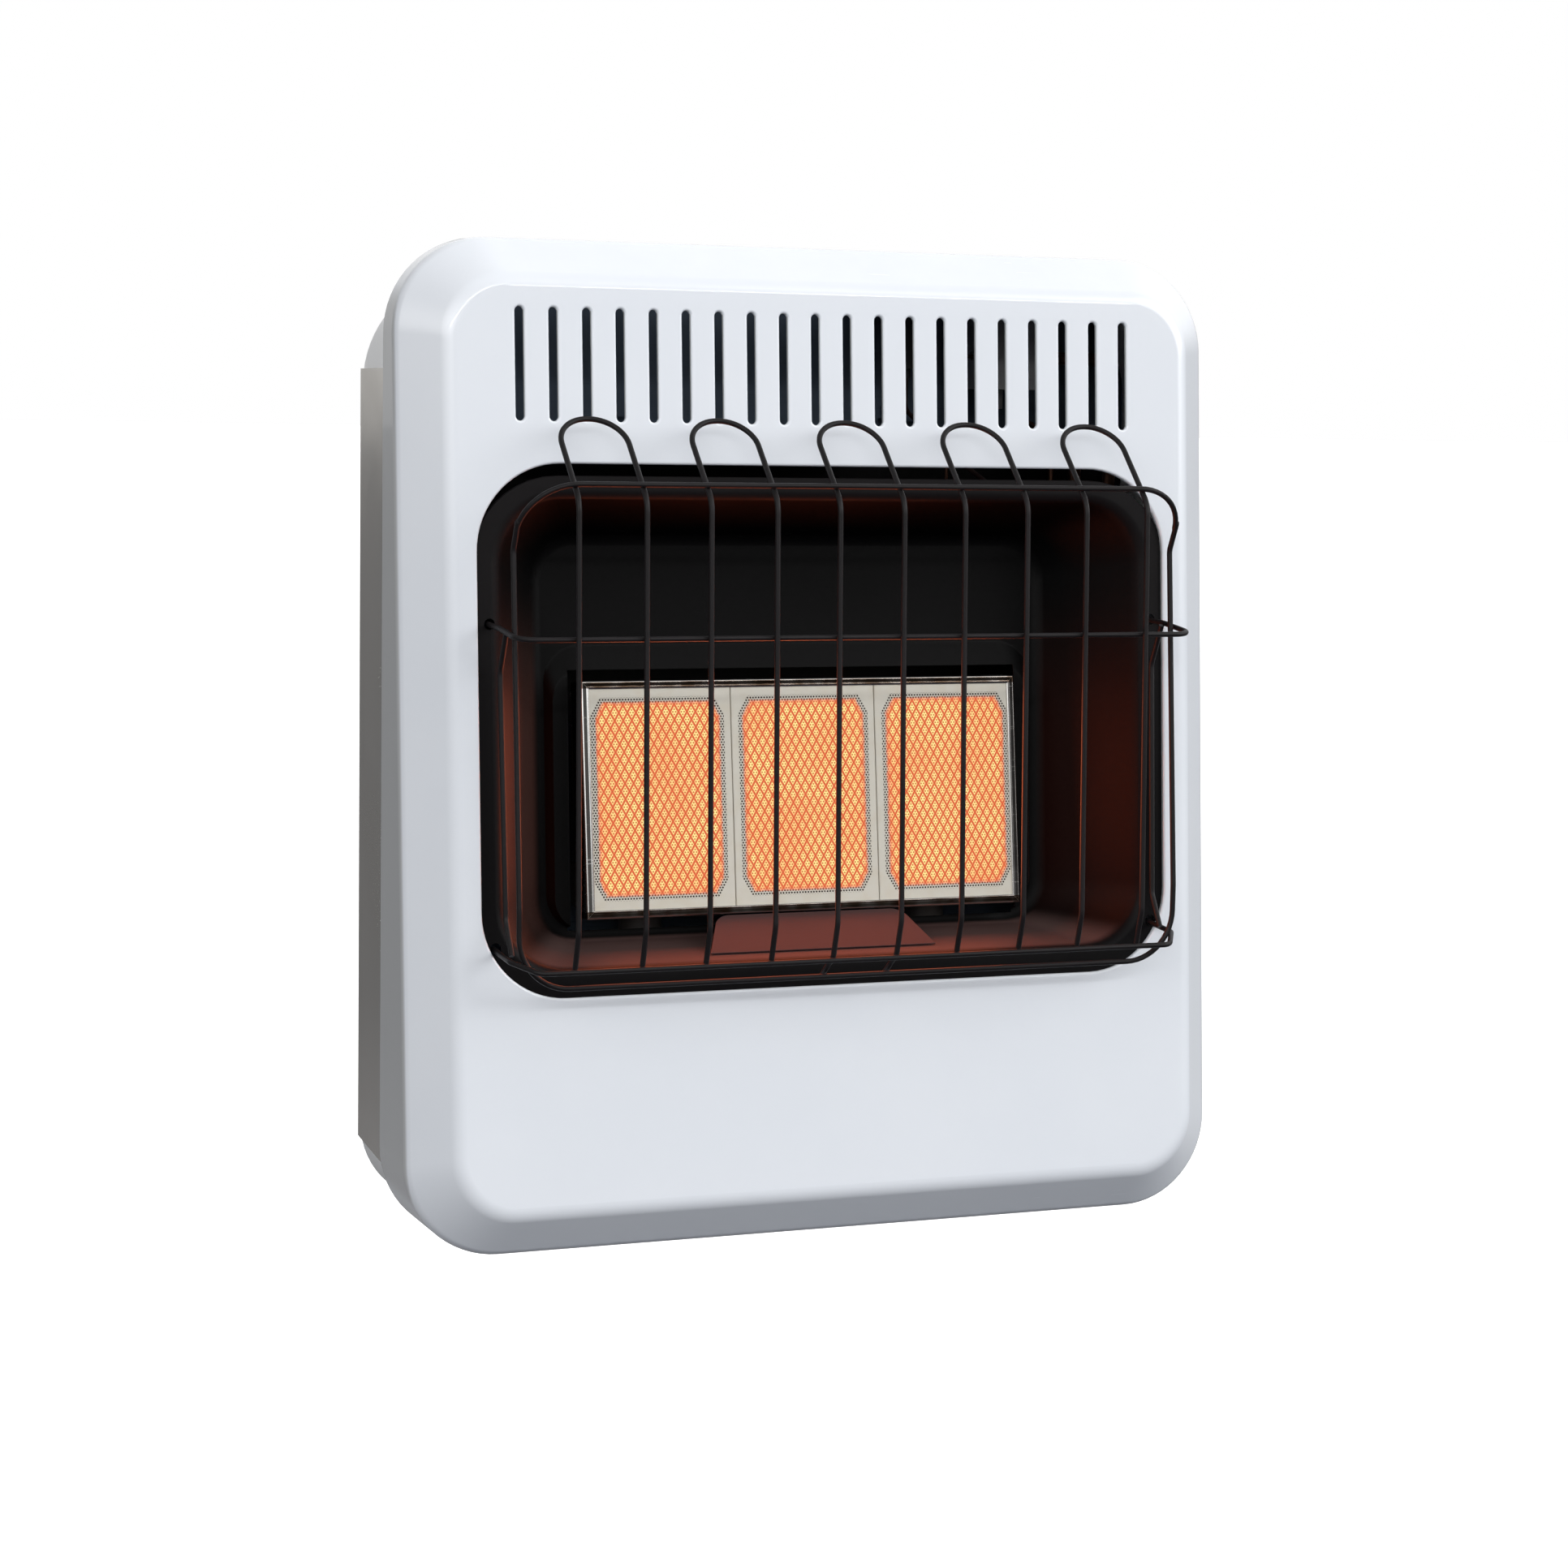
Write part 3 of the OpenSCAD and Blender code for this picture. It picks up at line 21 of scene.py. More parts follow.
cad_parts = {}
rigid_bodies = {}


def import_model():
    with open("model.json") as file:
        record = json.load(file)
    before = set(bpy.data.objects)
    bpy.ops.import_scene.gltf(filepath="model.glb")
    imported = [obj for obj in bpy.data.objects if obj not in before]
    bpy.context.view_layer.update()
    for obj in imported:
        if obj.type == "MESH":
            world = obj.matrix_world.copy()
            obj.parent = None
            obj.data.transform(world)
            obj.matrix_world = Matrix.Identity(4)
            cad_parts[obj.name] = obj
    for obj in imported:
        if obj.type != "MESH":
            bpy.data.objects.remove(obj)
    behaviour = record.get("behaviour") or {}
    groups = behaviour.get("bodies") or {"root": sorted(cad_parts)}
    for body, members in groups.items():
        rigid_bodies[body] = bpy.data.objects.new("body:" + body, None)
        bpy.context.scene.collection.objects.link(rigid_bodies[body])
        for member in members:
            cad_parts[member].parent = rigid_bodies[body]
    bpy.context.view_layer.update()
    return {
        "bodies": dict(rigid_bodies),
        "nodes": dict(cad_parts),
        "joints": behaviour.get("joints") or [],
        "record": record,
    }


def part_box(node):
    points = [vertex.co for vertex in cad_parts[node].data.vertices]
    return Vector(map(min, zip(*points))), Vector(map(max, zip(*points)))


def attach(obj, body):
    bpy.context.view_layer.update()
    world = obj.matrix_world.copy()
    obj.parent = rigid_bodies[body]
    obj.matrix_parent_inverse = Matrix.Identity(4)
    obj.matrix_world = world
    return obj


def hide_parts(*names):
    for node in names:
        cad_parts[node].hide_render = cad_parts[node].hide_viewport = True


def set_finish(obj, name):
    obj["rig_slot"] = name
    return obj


LOG = logging.getLogger("wall_heater")

MM = 0.001
SCREW_LINE = 470 * MM  # height of the origin above the casing's bottom edge
LEAN = math.radians(4.1)  # backward lean of the casing's face
RIM_LOW_Y = 132.5 * MM  # from the wall to the casing's rim at its bottom edge
FLANGE_DEPTH = -24.15 * MM  # of the bowl's flange; depths count back from the leaning rim
BURNER_TILT = math.radians(7.03)
BURNER_Y = 94.8 * MM  # from the wall to the middle of the burner's face
BURNER_MIDDLE = 255.8 * MM  # height of that middle above the casing's bottom edge
BEZEL_WIDTH = 279.3 * MM
BEZEL_HEIGHT = 139.3 * MM
PLAQUE_PITCH = 92.5 * MM  # between the middles of neighbouring plaques
NEAR = 0.02 * MM  # two places closer than this are the same
UPRIGHT = (math.pi / 2, 0, 0)  # turns a new plane or circle to face the room

HUNG = Matrix.Translation((0, 0, -SCREW_LINE))
LEANING = HUNG @ Matrix.Translation((0, -RIM_LOW_Y, 0)) @ Matrix.Rotation(-LEAN, 4, "X")
AT_BURNER = (
    HUNG @ Matrix.Translation((0, -BURNER_Y, BURNER_MIDDLE)) @ Matrix.Rotation(-BURNER_TILT, 4, "X")
)


class Body(StrEnum):
    """Bodies of the frame that the new pieces ride on."""

    HEATER = "heater"
    KNOB = "knob"
    BUTTON = "button"


class Element(Enum):
    """Kinds of mesh element that can be selected."""

    VERTS = "VERT"
    EDGES = "EDGE"


# --- modelling bench ------------------------------------------------------------------------------


@dataclass(frozen=True)
class Ring:
    """An upright rectangle with round corners, at one depth behind or in front of its plane."""

    width: float
    low: float
    high: float
    radius: float
    depth: float = 0.0

    def moved(self, grow: float, depth: float) -> Ring:
        """Returns the ring grown by grow all round, at another depth.

        Args:
            grow: Distance that each side moves outwards.
            depth: Depth of the new ring.

        Returns:
            The new ring.
        """
        return Ring(
            self.width + 2 * grow, self.low - grow, self.high + grow, self.radius + grow, depth
        )


def centred_ring(width: float, height: float, radius: float, depth: float) -> Ring:
    """Returns a ring whose middle is at height 0.

    Args:
        width: Distance across.
        height: Distance from its low to its high edge.
        radius: Radius of its corners.
        depth: Depth that it lies at.

    Returns:
        The ring.
    """
    return Ring(width, -height / 2, height / 2, radius, depth)


def between(first: Ring, last: Ring, share: float) -> Ring:
    """Returns the ring at a share of the way from one ring to another.

    Args:
        first: Ring at a share of 0.
        last: Ring at a share of 1.
        share: Share of the way.

    Returns:
        The ring between them.
    """
    return Ring(
        *(
            getattr(first, side) + (getattr(last, side) - getattr(first, side)) * share
            for side in ("width", "low", "high", "radius", "depth")
        )
    )


def take_up(obj: Object) -> None:
    """Selects one object alone and makes it the active one.

    Args:
        obj: Object to select.
    """
    bpy.ops.object.select_all(action="DESELECT")
    obj.select_set(True)
    bpy.context.view_layer.objects.active = obj


class Workpiece:
    """A mesh that is modelled as by hand: primitives, edit mode operators, then modifiers."""

    def __init__(self, name: str, steps: int = 10) -> None:
        """Starts an empty piece in edit mode.

        Args:
            name: Name of the finished object.
            steps: Segments of a ring's round corner.
        """
        bpy.ops.object.select_all(action="DESELECT")
        bpy.ops.mesh.primitive_plane_add(size=MM)
        self.obj: Object = bpy.context.active_object
        self.obj.name = name
        self.obj.data.name = name
        self.steps = steps
        self.rings = 0
        bpy.ops.object.mode_set(mode="EDIT")
        bpy.ops.mesh.delete(type="VERT")

    def _mesh(self) -> bmesh.types.BMesh:
        """Returns the mesh in edit mode, with its layer of ring numbers."""
        mesh = bmesh.from_edit_mesh(self.obj.data)
        if "ring" not in mesh.verts.layers.int:
            mesh.verts.layers.int.new("ring")
        return mesh

    def _clear(self, kind: Element) -> bmesh.types.BMesh:
        """Selects nothing and returns the mesh, ready to select one kind of element.

        Args:
            kind: Kind of element that is selected next.

        Returns:
            The mesh in edit mode.
        """
        bpy.ops.mesh.select_mode(type=kind.value)
        bpy.ops.mesh.select_all(action="DESELECT")
        return self._mesh()

    def _show(self, mesh: bmesh.types.BMesh) -> None:
        """Hands a selection made in code back to the operators."""
        mesh.select_flush_mode()
        bmesh.update_edit_mesh(self.obj.data)

    def pick_verts(self, test: Callable[[Vector], bool]) -> Workpiece:
        """Selects the vertices whose places pass a test, and nothing else.

        Args:
            test: Takes a vertex's place.

        Returns:
            The piece itself.
        """
        mesh = self._clear(Element.VERTS)
        for vert in mesh.verts:
            vert.select = test(vert.co)
        self._show(mesh)
        return self

    def pick_open_edges(self, test: Callable[[Vector], bool]) -> Workpiece:
        """Selects the edges that have fewer than two faces and whose ends all pass a test.

        Args:
            test: Takes the place of an edge's end.

        Returns:
            The piece itself.
        """
        mesh = self._clear(Element.EDGES)
        for edge in mesh.edges:
            edge.select = len(edge.link_faces) < 2 and all(test(v.co) for v in edge.verts)
        self._show(mesh)
        return self

    def add_ring(self, ring: Ring) -> None:
        """Adds a ring's outline as loose edges and numbers it.

        Args:
            ring: Ring to draw.
        """
        middle = (0, ring.depth, (ring.low + ring.high) / 2)
        self._clear(Element.VERTS)
        bpy.ops.mesh.primitive_plane_add(size=1, location=middle, rotation=UPRIGHT)
        bpy.ops.transform.resize(
            value=(ring.width, 1, ring.high - ring.low), center_override=middle
        )
        bpy.ops.mesh.bevel(offset=ring.radius, segments=self.steps, affect="VERTICES")
        self._number()
        bpy.ops.mesh.delete(type="ONLY_FACE")

    def add_circle(self, radius: float, height: float, sides: int) -> None:
        """Adds a level circle round the Z axis as loose edges and numbers it.

        Args:
            radius: Its radius.
            height: Height that it lies at.
            sides: Number of its sides.
        """
        self._clear(Element.VERTS)
        bpy.ops.mesh.primitive_circle_add(vertices=sides, radius=radius, location=(0, 0, height))
        self._number()

    def _number(self) -> None:
        """Gives the selected outline the next ring number."""
        self.rings += 1
        mesh = self._mesh()
        layer = mesh.verts.layers.int["ring"]
        for vert in mesh.verts:
            if vert.select:
                vert[layer] = self.rings

    def bridge_last(self) -> None:
        """Joins the last two rings with a band of faces."""
        mesh = self._clear(Element.EDGES)
        layer = mesh.verts.layers.int["ring"]
        for edge in mesh.edges:
            numbers = {vert[layer] for vert in edge.verts}
            edge.select = len(numbers) == 1 and numbers <= {self.rings - 1, self.rings}
        self._show(mesh)
        bpy.ops.mesh.bridge_edge_loops()

    def loft(self, rings: Sequence[Ring]) -> Workpiece:
        """Adds rings and joins each to the one before it.

        Args:
            rings: Outlines in order, from one edge of the sheet to the other.

        Returns:
            The piece itself.
        """
        for place, ring in enumerate(rings):
            self.add_ring(ring)
            if place:
                self.bridge_last()
        return self

    def turn(self, profile: Sequence[tuple[float, float]], sides: int = 48) -> Workpiece:
        """Adds a round body through (radius, height) pairs, from one closed end to the other.

        Args:
            profile: Section from the foot to the top.
            sides: Number of sides all round.

        Returns:
            The piece itself.
        """
        for place, (radius, height) in enumerate(profile):
            self.add_circle(radius, height, sides)
            if place:
                self.bridge_last()
        for height in (profile[0][1], profile[-1][1]):
            self.pick_open_edges(lambda p, z=height: abs(p.z - z) < NEAR)
            bpy.ops.mesh.fill()
        return self

    def fill_flat(self, depth: float) -> Workpiece:
        """Fills the region between all open outlines at a depth.

        Args:
            depth: Depth of the region.

        Returns:
            The piece itself.
        """
        self.pick_open_edges(lambda p: abs(p.y - depth) < NEAR)
        bpy.ops.mesh.fill(use_beauty=False)
        return self

    def face_outwards(self) -> Workpiece:
        """Merges doubles and makes the faces point outwards.

        Returns:
            The piece itself.
        """
        bpy.ops.mesh.select_mode(type=Element.VERTS.value)
        bpy.ops.mesh.select_all(action="SELECT")
        bpy.ops.mesh.remove_doubles(threshold=NEAR / 4)
        bpy.ops.mesh.normals_make_consistent(inside=False)
        return self

    def face_room(self, test: Callable[[Vector], bool]) -> Workpiece:
        """Makes the faces point the same way, and those that pass a test point to the room.

        Args:
            test: Takes a face's middle.

        Returns:
            The piece itself.
        """
        self.face_outwards()
        mesh = self._mesh()
        away = sum(f.normal.y * f.calc_area() for f in mesh.faces if test(f.calc_center_median()))
        if away > 0:
            bpy.ops.mesh.select_all(action="SELECT")
            bpy.ops.mesh.flip_normals()
        return self

    def to_edit(self) -> Workpiece:
        """Enters edit mode."""
        bpy.ops.object.mode_set(mode="EDIT")
        return self

    def to_bench(self) -> Workpiece:
        """Leaves edit mode."""
        bpy.ops.object.mode_set(mode="OBJECT")
        return self

    def apply(self, kind: str, **settings: object) -> Workpiece:
        """Adds a modifier with these settings and applies it.

        Args:
            kind: Type of the modifier.
            settings: Its properties.

        Returns:
            The piece itself.
        """
        modifier = self.obj.modifiers.new(kind.lower(), kind)
        for name, value in settings.items():
            setattr(modifier, name, value)
        take_up(self.obj)
        bpy.ops.object.modifier_apply(modifier=modifier.name)
        return self

    def thicken(self, thickness: float) -> Workpiece:
        """Gives a sheet its thickness behind its outer face."""
        return self.apply("SOLIDIFY", thickness=thickness, offset=-1)

    def cut(self, cutter: Object) -> Workpiece:
        """Takes a cutter's shape away and deletes the cutter.

        Args:
            cutter: Closed shape to take away.

        Returns:
            The piece itself.
        """
        self.apply("BOOLEAN", object=cutter, operation="DIFFERENCE", solver="MANIFOLD")
        bpy.data.objects.remove(cutter, do_unlink=True)
        return self

    def place(self, matrix: Matrix) -> Workpiece:
        """Moves the piece by a matrix and applies it, so that the object stays at the origin.

        Args:
            matrix: Move and turn in the heater's frame.

        Returns:
            The piece itself.
        """
        self.obj.matrix_world = matrix @ self.obj.matrix_world
        take_up(self.obj)
        bpy.ops.object.transform_apply(location=True, rotation=True, scale=True)
        return self

    def join(self, other: Object) -> Workpiece:
        """Takes another object's mesh into this one.

        Args:
            other: Object whose mesh is taken in.

        Returns:
            The piece itself.
        """
        take_up(self.obj)
        other.select_set(True)
        bpy.ops.object.join()
        return self

    def soften(self, width: float) -> Workpiece:
        """Rounds the sharp edges.

        Args:
            width: Width of the rounding.

        Returns:
            The piece itself.
        """
        return self.apply(
            "BEVEL",
            width=width,
            segments=3,
            limit_method="ANGLE",
            angle_limit=math.radians(40),
            use_clamp_overlap=True,
        )

    def shade(self, angle: float = 40) -> Workpiece:
        """Shades smooth up to an angle and lets the large faces lead.

        Args:
            angle: Largest angle that is shaded smooth, in degrees.

        Returns:
            The piece itself.
        """
        take_up(self.obj)
        bpy.ops.object.shade_smooth_by_angle(angle=math.radians(angle))
        return self.apply("WEIGHTED_NORMAL", keep_sharp=True)

    def finish(self, body: Body, slot: str, *nodes: str) -> Object:
        """Hands the piece over to its body.

        Args:
            body: Body that the piece rides on.
            slot: Material slot of the record that its finish comes from.
            nodes: CAD nodes that the piece stands for.

        Returns:
            The finished object.
        """
        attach(self.obj, body)
        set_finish(self.obj, slot)
        if nodes:
            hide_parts(*nodes)
        LOG.info("%s: %d faces", self.obj.name, len(self.obj.data.polygons))
        return self.obj


def cylinder_cutter(radius: float, depth: float, place: Vector, turn: Euler) -> Object:
    """Returns a cylinder to cut a hole with.

    Args:
        radius: Radius of the hole.
        depth: Length of the cylinder.
        place: Its middle.
        turn: How it is turned from upright.

    Returns:
        The cutter.
    """
    bpy.ops.object.select_all(action="DESELECT")
    bpy.ops.mesh.primitive_cylinder_add(
        vertices=32, radius=radius, depth=depth, location=place, rotation=turn
    )
    return bpy.context.active_object


def block_cutter(size: Vector, place: Vector, turn: Euler) -> Object:
    """Returns a block to cut an opening with.

    Args:
        size: Its three sides.
        place: Its middle.
        turn: How it is turned.

    Returns:
        The cutter.
    """
    bpy.ops.object.select_all(action="DESELECT")
    bpy.ops.mesh.primitive_cube_add(size=1, location=place, rotation=turn, scale=size)
    return bpy.context.active_object


# --- shader helpers -------------------------------------------------------------------------------

Value = float | Sequence[float] | NodeSocket


class Graph:
    """A material's or a group's node tree, with short calls for its nodes."""

    def __init__(self, tree: bpy.types.NodeTree) -> None:
        """Takes the tree that is to be built."""
        self.tree = tree

    def add(self, kind: str, settings: dict[str, object] | None = None, **inputs: Value) -> Node:
        """Adds a node.

        Args:
            kind: Node type without its ShaderNode prefix.
            settings: Properties of the node.
            inputs: Values or sockets for its inputs, with _ for a space in their names.

        Returns:
            The node.
        """
        node = self.tree.nodes.new("ShaderNode" + kind)
        for name, value in (settings or {}).items():
            setattr(node, name, value)
        for name, value in inputs.items():
            self.put(node.inputs[name.replace("_", " ")], value)
        return node

    def put(self, socket: NodeSocket, value: Value) -> None:
        """Links a socket into an input, or sets the input's value.

        Args:
            socket: Input to link or set.
            value: Socket to link, or a plain value.
        """
        if isinstance(value, NodeSocket):
            self.tree.links.new(value, socket)
        else:
            socket.default_value = value

    def math(
        self, operation: str, first: Value, second: Value = 0.0, clamp: bool = False
    ) -> NodeSocket:
        """Returns the result of a Math node.

        Args:
            operation: Name of the operation.
            first: First value.
            second: Second value.
            clamp: Whether the result is kept between 0 and 1.

        Returns:
            The result.
        """
        node = self.add("Math", {"operation": operation, "use_clamp": clamp})
        self.put(node.inputs[0], first)
        self.put(node.inputs[1], second)
        return node.outputs[0]

    def ramp(
        self, value: Value, low: float, high: float, out_low: float = 0, out_high: float = 1
    ) -> NodeSocket:
        """Returns a value mapped smoothly from one range to another.

        Args:
            value: Value to map.
            low: Value that gives out_low.
            high: Value that gives out_high.
            out_low: Result at the start.
            out_high: Result at the end.

        Returns:
            The result, level beyond both ends.
        """
        node = self.add("MapRange", {"interpolation_type": "SMOOTHSTEP"}, Value=value)
        self.put(node.inputs["From Min"], low)
        self.put(node.inputs["From Max"], high)
        self.put(node.inputs["To Min"], out_low)
        self.put(node.inputs["To Max"], out_high)
        return node.outputs["Result"]

    def mix(self, share: Value, first: Value, second: Value) -> NodeSocket:
        """Returns the mix of two colours.

        Args:
            share: Share of the second colour.
            first: First colour.
            second: Second colour.

        Returns:
            The mixed colour.
        """
        node = self.add("Mix", {"data_type": "RGBA"})
        self.put(node.inputs[0], share)
        self.put(node.inputs[6], first)
        self.put(node.inputs[7], second)
        return node.outputs[2]

    def dot(self, vector: Value, direction: Sequence[float]) -> NodeSocket:
        """Returns the distance of a vector along a direction.

        Args:
            vector: Vector to measure.
            direction: Direction to measure along.

        Returns:
            The distance.
        """
        node = self.add("VectorMath", {"operation": "DOT_PRODUCT"})
        self.put(node.inputs[0], vector)
        self.put(node.inputs[1], direction)
        return node.outputs["Value"]

    def times(self, first: Value, second: Value) -> NodeSocket:
        """Returns the product of two values."""
        return self.math("MULTIPLY", first, second)

    def minus(self, first: Value, second: Value) -> NodeSocket:
        """Returns the difference of two values."""
        return self.math("SUBTRACT", first, second)

    def size(self, value: Value) -> NodeSocket:
        """Returns a value without its sign."""
        return self.math("ABSOLUTE", value)

    def noise(self, place: Value, scale: Value, detail: float) -> NodeSocket:
        """Returns a cloudy value between 0 and 1."""
        return self.add("TexNoise", None, Vector=place, Scale=scale, Detail=detail).outputs[0]

    def facing(self, direction: Sequence[float]) -> NodeSocket:
        """Returns the cosine between the surface's normal and a direction."""
        return self.dot(self.add("NewGeometry").outputs["Normal"], direction)

    def in_frame(self, place: Value, frame: Matrix, unit: float = 1.0) -> NodeSocket:
        """Returns a place along another frame's axes, counted in a unit.

        Args:
            place: Place in the heater's frame.
            frame: The other frame.
            unit: Length that counts as 1.

        Returns:
            The place in that frame.
        """
        aim = self.add("Mapping", {"vector_type": "TEXTURE"}, Vector=place, Scale=(unit,) * 3)
        aim.inputs["Location"].default_value = frame.to_translation()
        aim.inputs["Rotation"].default_value = frame.to_euler()
        return aim.outputs[0]

    def group(self, name: str, **inputs: Value) -> Node:
        """Adds a shared node group with its values.

        Args:
            name: Name of the group.
            inputs: Its values, with _ for a space in their names.

        Returns:
            The group's node.
        """
        node = self.tree.nodes.new("ShaderNodeGroup")
        node.node_tree = bpy.data.node_groups[name]
        for key, value in inputs.items():
            self.put(node.inputs[key.replace("_", " ")], value)
        return node


def new_group(
    name: str, inputs: dict[str, tuple[str, float]], outputs: dict[str, str]
) -> tuple[Graph, Node, Node]:
    """Makes an empty shader group.

    Args:
        name: Name of the group.
        inputs: Socket kind and default value of each input.
        outputs: Socket kind of each output.

    Returns:
        The group's graph, its input node and its output node.
    """
    tree = bpy.data.node_groups.new(name, "ShaderNodeTree")
    for socket, (kind, default) in inputs.items():
        made = tree.interface.new_socket(socket, in_out="INPUT", socket_type="NodeSocket" + kind)
        if kind == "Float":
            made.default_value = default
    for socket, kind in outputs.items():
        tree.interface.new_socket(socket, in_out="OUTPUT", socket_type="NodeSocket" + kind)
    return Graph(tree), tree.nodes.new("NodeGroupInput"), tree.nodes.new("NodeGroupOutput")


GRAIN = "surface_grain"
SCUFFS = "fine_scuffs"
DUST = "settled_dust"


def build_grain() -> None:
    """Builds the group for a coating's grain: a fine height and a slow cloudy tone."""
    graph, given, out = new_group(
        GRAIN,
        {"Position": ("Vector", 0), "Fineness": ("Float", 1500), "Clouds": ("Float", 12)},
        {"Height": "Float", "Tone": "Float"},
    )
    place = given.outputs["Position"]
    graph.put(out.inputs["Height"], graph.noise(place, given.outputs["Fineness"], 2.0))
    graph.put(out.inputs["Tone"], graph.noise(place, given.outputs["Clouds"], 3.0))


def build_scuffs() -> None:
    """Builds the group for hairline scuffs, as a mask."""
    graph, given, out = new_group(
        SCUFFS,
        {"Position": ("Vector", 0), "Length": ("Float", 25), "Share": ("Float", 0.3)},
        {"Mask": "Float"},
    )
    masks = []
    for turn in (0.5, 2.1):
        aim = graph.add(
            "Mapping", None, Vector=given.outputs["Position"],
            Rotation=(turn, turn / 2, turn), Scale=(1, 30, 30),
        )
        streak = graph.noise(aim.outputs[0], given.outputs["Length"], 1.0)
        masks.append(graph.ramp(streak, 0.68, 0.74))
    both = graph.math("MAXIMUM", *masks)
    graph.put(out.inputs["Mask"], graph.times(both, given.outputs["Share"]))


def build_dust() -> None:
    """Builds the group for dust that lies on what faces up, as a mask."""
    graph, given, out = new_group(
        DUST, {"Position": ("Vector", 0), "Share": ("Float", 0.4)}, {"Mask": "Float"}
    )
    up = graph.ramp(graph.facing((0, 0, 1)), 0.3, 1.0)
    patch = graph.noise(given.outputs["Position"], 60.0, 6.0)
    lies = graph.times(up, graph.ramp(patch, 0.35, 0.7))
    graph.put(out.inputs["Mask"], graph.times(lies, given.outputs["Share"]))


Colour = tuple[float, float, float]


def full(colour: Colour) -> tuple[float, float, float, float]:
    """Returns a colour with its alpha."""
    return (*colour, 1.0)


def new_material(name: str) -> tuple[Material, Graph, Node, NodeSocket]:
    """Starts a material.

    Args:
        name: Name of the material.

    Returns:
        The material, its graph, its shader and the place on the object.
    """
    material = bpy.data.materials.new(name)
    material.use_nodes = True
    graph = Graph(material.node_tree)
    shader = material.node_tree.nodes["Principled BSDF"]
    return material, graph, shader, graph.add("TexCoord").outputs["Object"]


def set_plain(shader: Node, **values: float) -> None:
    """Sets a shader's inputs that are the same all over, with _ for a space in their names.

    Args:
        shader: Shader of the material.
        values: Values by input.
    """
    for name, value in values.items():
        shader.inputs[name.replace("_", " ")].default_value = value


@dataclass(frozen=True)
class Finish:
    """A coated, cast or moulded surface with grain, cloudy tone, scuffs and dust."""

    name: str
    colour: Colour
    shade: Colour
    roughness: float = 0.4
    roughness_spread: float = 0.1
    metallic: float = 0.0
    coat: float = 0.0
    specular: float = 0.5
    fineness: float = 1500
    clouds: float = 12
    relief: float = 0.02
    relief_depth: float = 0.0002
    scuffs: float = 0.1
    scuffed: float = 0.6  # roughness that a scuff adds
    dust: float = 0.15
    dusted: float = 0.5  # roughness that dust adds
    dust_colour: Colour = (0.45, 0.42, 0.38)
    cloud_edge: tuple[float, float] = (0.3, 0.7)  # noise values that a cloud fades in between

    def build(self) -> Material:
        """Returns the finish's material."""
        material, graph, shader, place = new_material(self.name)
        grain = graph.group(GRAIN, Position=place, Fineness=self.fineness, Clouds=self.clouds)
        scuffs = graph.group(SCUFFS, Position=place, Share=self.scuffs).outputs["Mask"]
        dust = graph.group(DUST, Position=place, Share=self.dust).outputs["Mask"]
        cloud = grain.outputs["Tone"]
        tone = graph.ramp(cloud, *self.cloud_edge)
        colour = graph.mix(tone, full(self.colour), full(self.shade))
        colour = graph.mix(dust, colour, full(self.dust_colour))
        graph.put(shader.inputs["Base Color"], self.tinted(graph, place, colour))
        roughest = self.roughness + self.roughness_spread
        rough = graph.ramp(cloud, *self.cloud_edge, self.roughness, roughest)
        worn = graph.math("ADD", rough, graph.times(scuffs, self.scuffed))
        worn = graph.math("ADD", worn, graph.times(dust, self.dusted), clamp=True)
        graph.put(shader.inputs["Roughness"], worn)
        bump = graph.add("Bump", None, Strength=self.relief, Distance=self.relief_depth)
        graph.put(bump.inputs["Height"], self.height(graph, place, grain.outputs["Height"]))
        graph.put(shader.inputs["Normal"], bump.outputs[0])
        set_plain(
            shader, Metallic=self.metallic, Coat_Weight=self.coat, Coat_Roughness=0.04,
            Specular_IOR_Level=self.specular,
        )
        return material

    def tinted(self, graph: Graph, place: NodeSocket, colour: NodeSocket) -> NodeSocket:
        """Returns the colour; a finish with marks of its own adds them here.

        Args:
            graph: Graph of the material.
            place: Place on the object.
            colour: Colour of the surface without its marks.

        Returns:
            The colour with the marks.
        """
        return colour

    def height(self, graph: Graph, place: NodeSocket, grain: NodeSocket) -> NodeSocket:
        """Returns the relief's height; a finish with a relief of its own adds it here.

        Args:
            graph: Graph of the material.
            place: Place on the object.
            grain: Height of the coating's grain.

        Returns:
            The relief's height.
        """
        return grain


@dataclass(frozen=True)
class SideShaded(Finish):
    """Sprayed enamel with painted shade: greyer on the upright side walls, where less light falls."""

    side_shade: Colour = (0.49, 0.50, 0.51)
    side_shade_from: tuple[float, float] = (0.86, 0.98)  # cosines to the side that the painted shade fades in between

    def tinted(self, graph: Graph, place: NodeSocket, colour: NodeSocket) -> NodeSocket:
        """Returns the colour with painted shade, greyer where the surface faces sideways.

        Args:
            graph: Graph of the material.
            place: Place on the object.
            colour: Colour of the surface without its marks.

        Returns:
            The colour with the marks.
        """
        sideways = graph.size(graph.facing((1, 0, 0)))
        return graph.mix(graph.ramp(sideways, *self.side_shade_from), colour, full(self.side_shade))


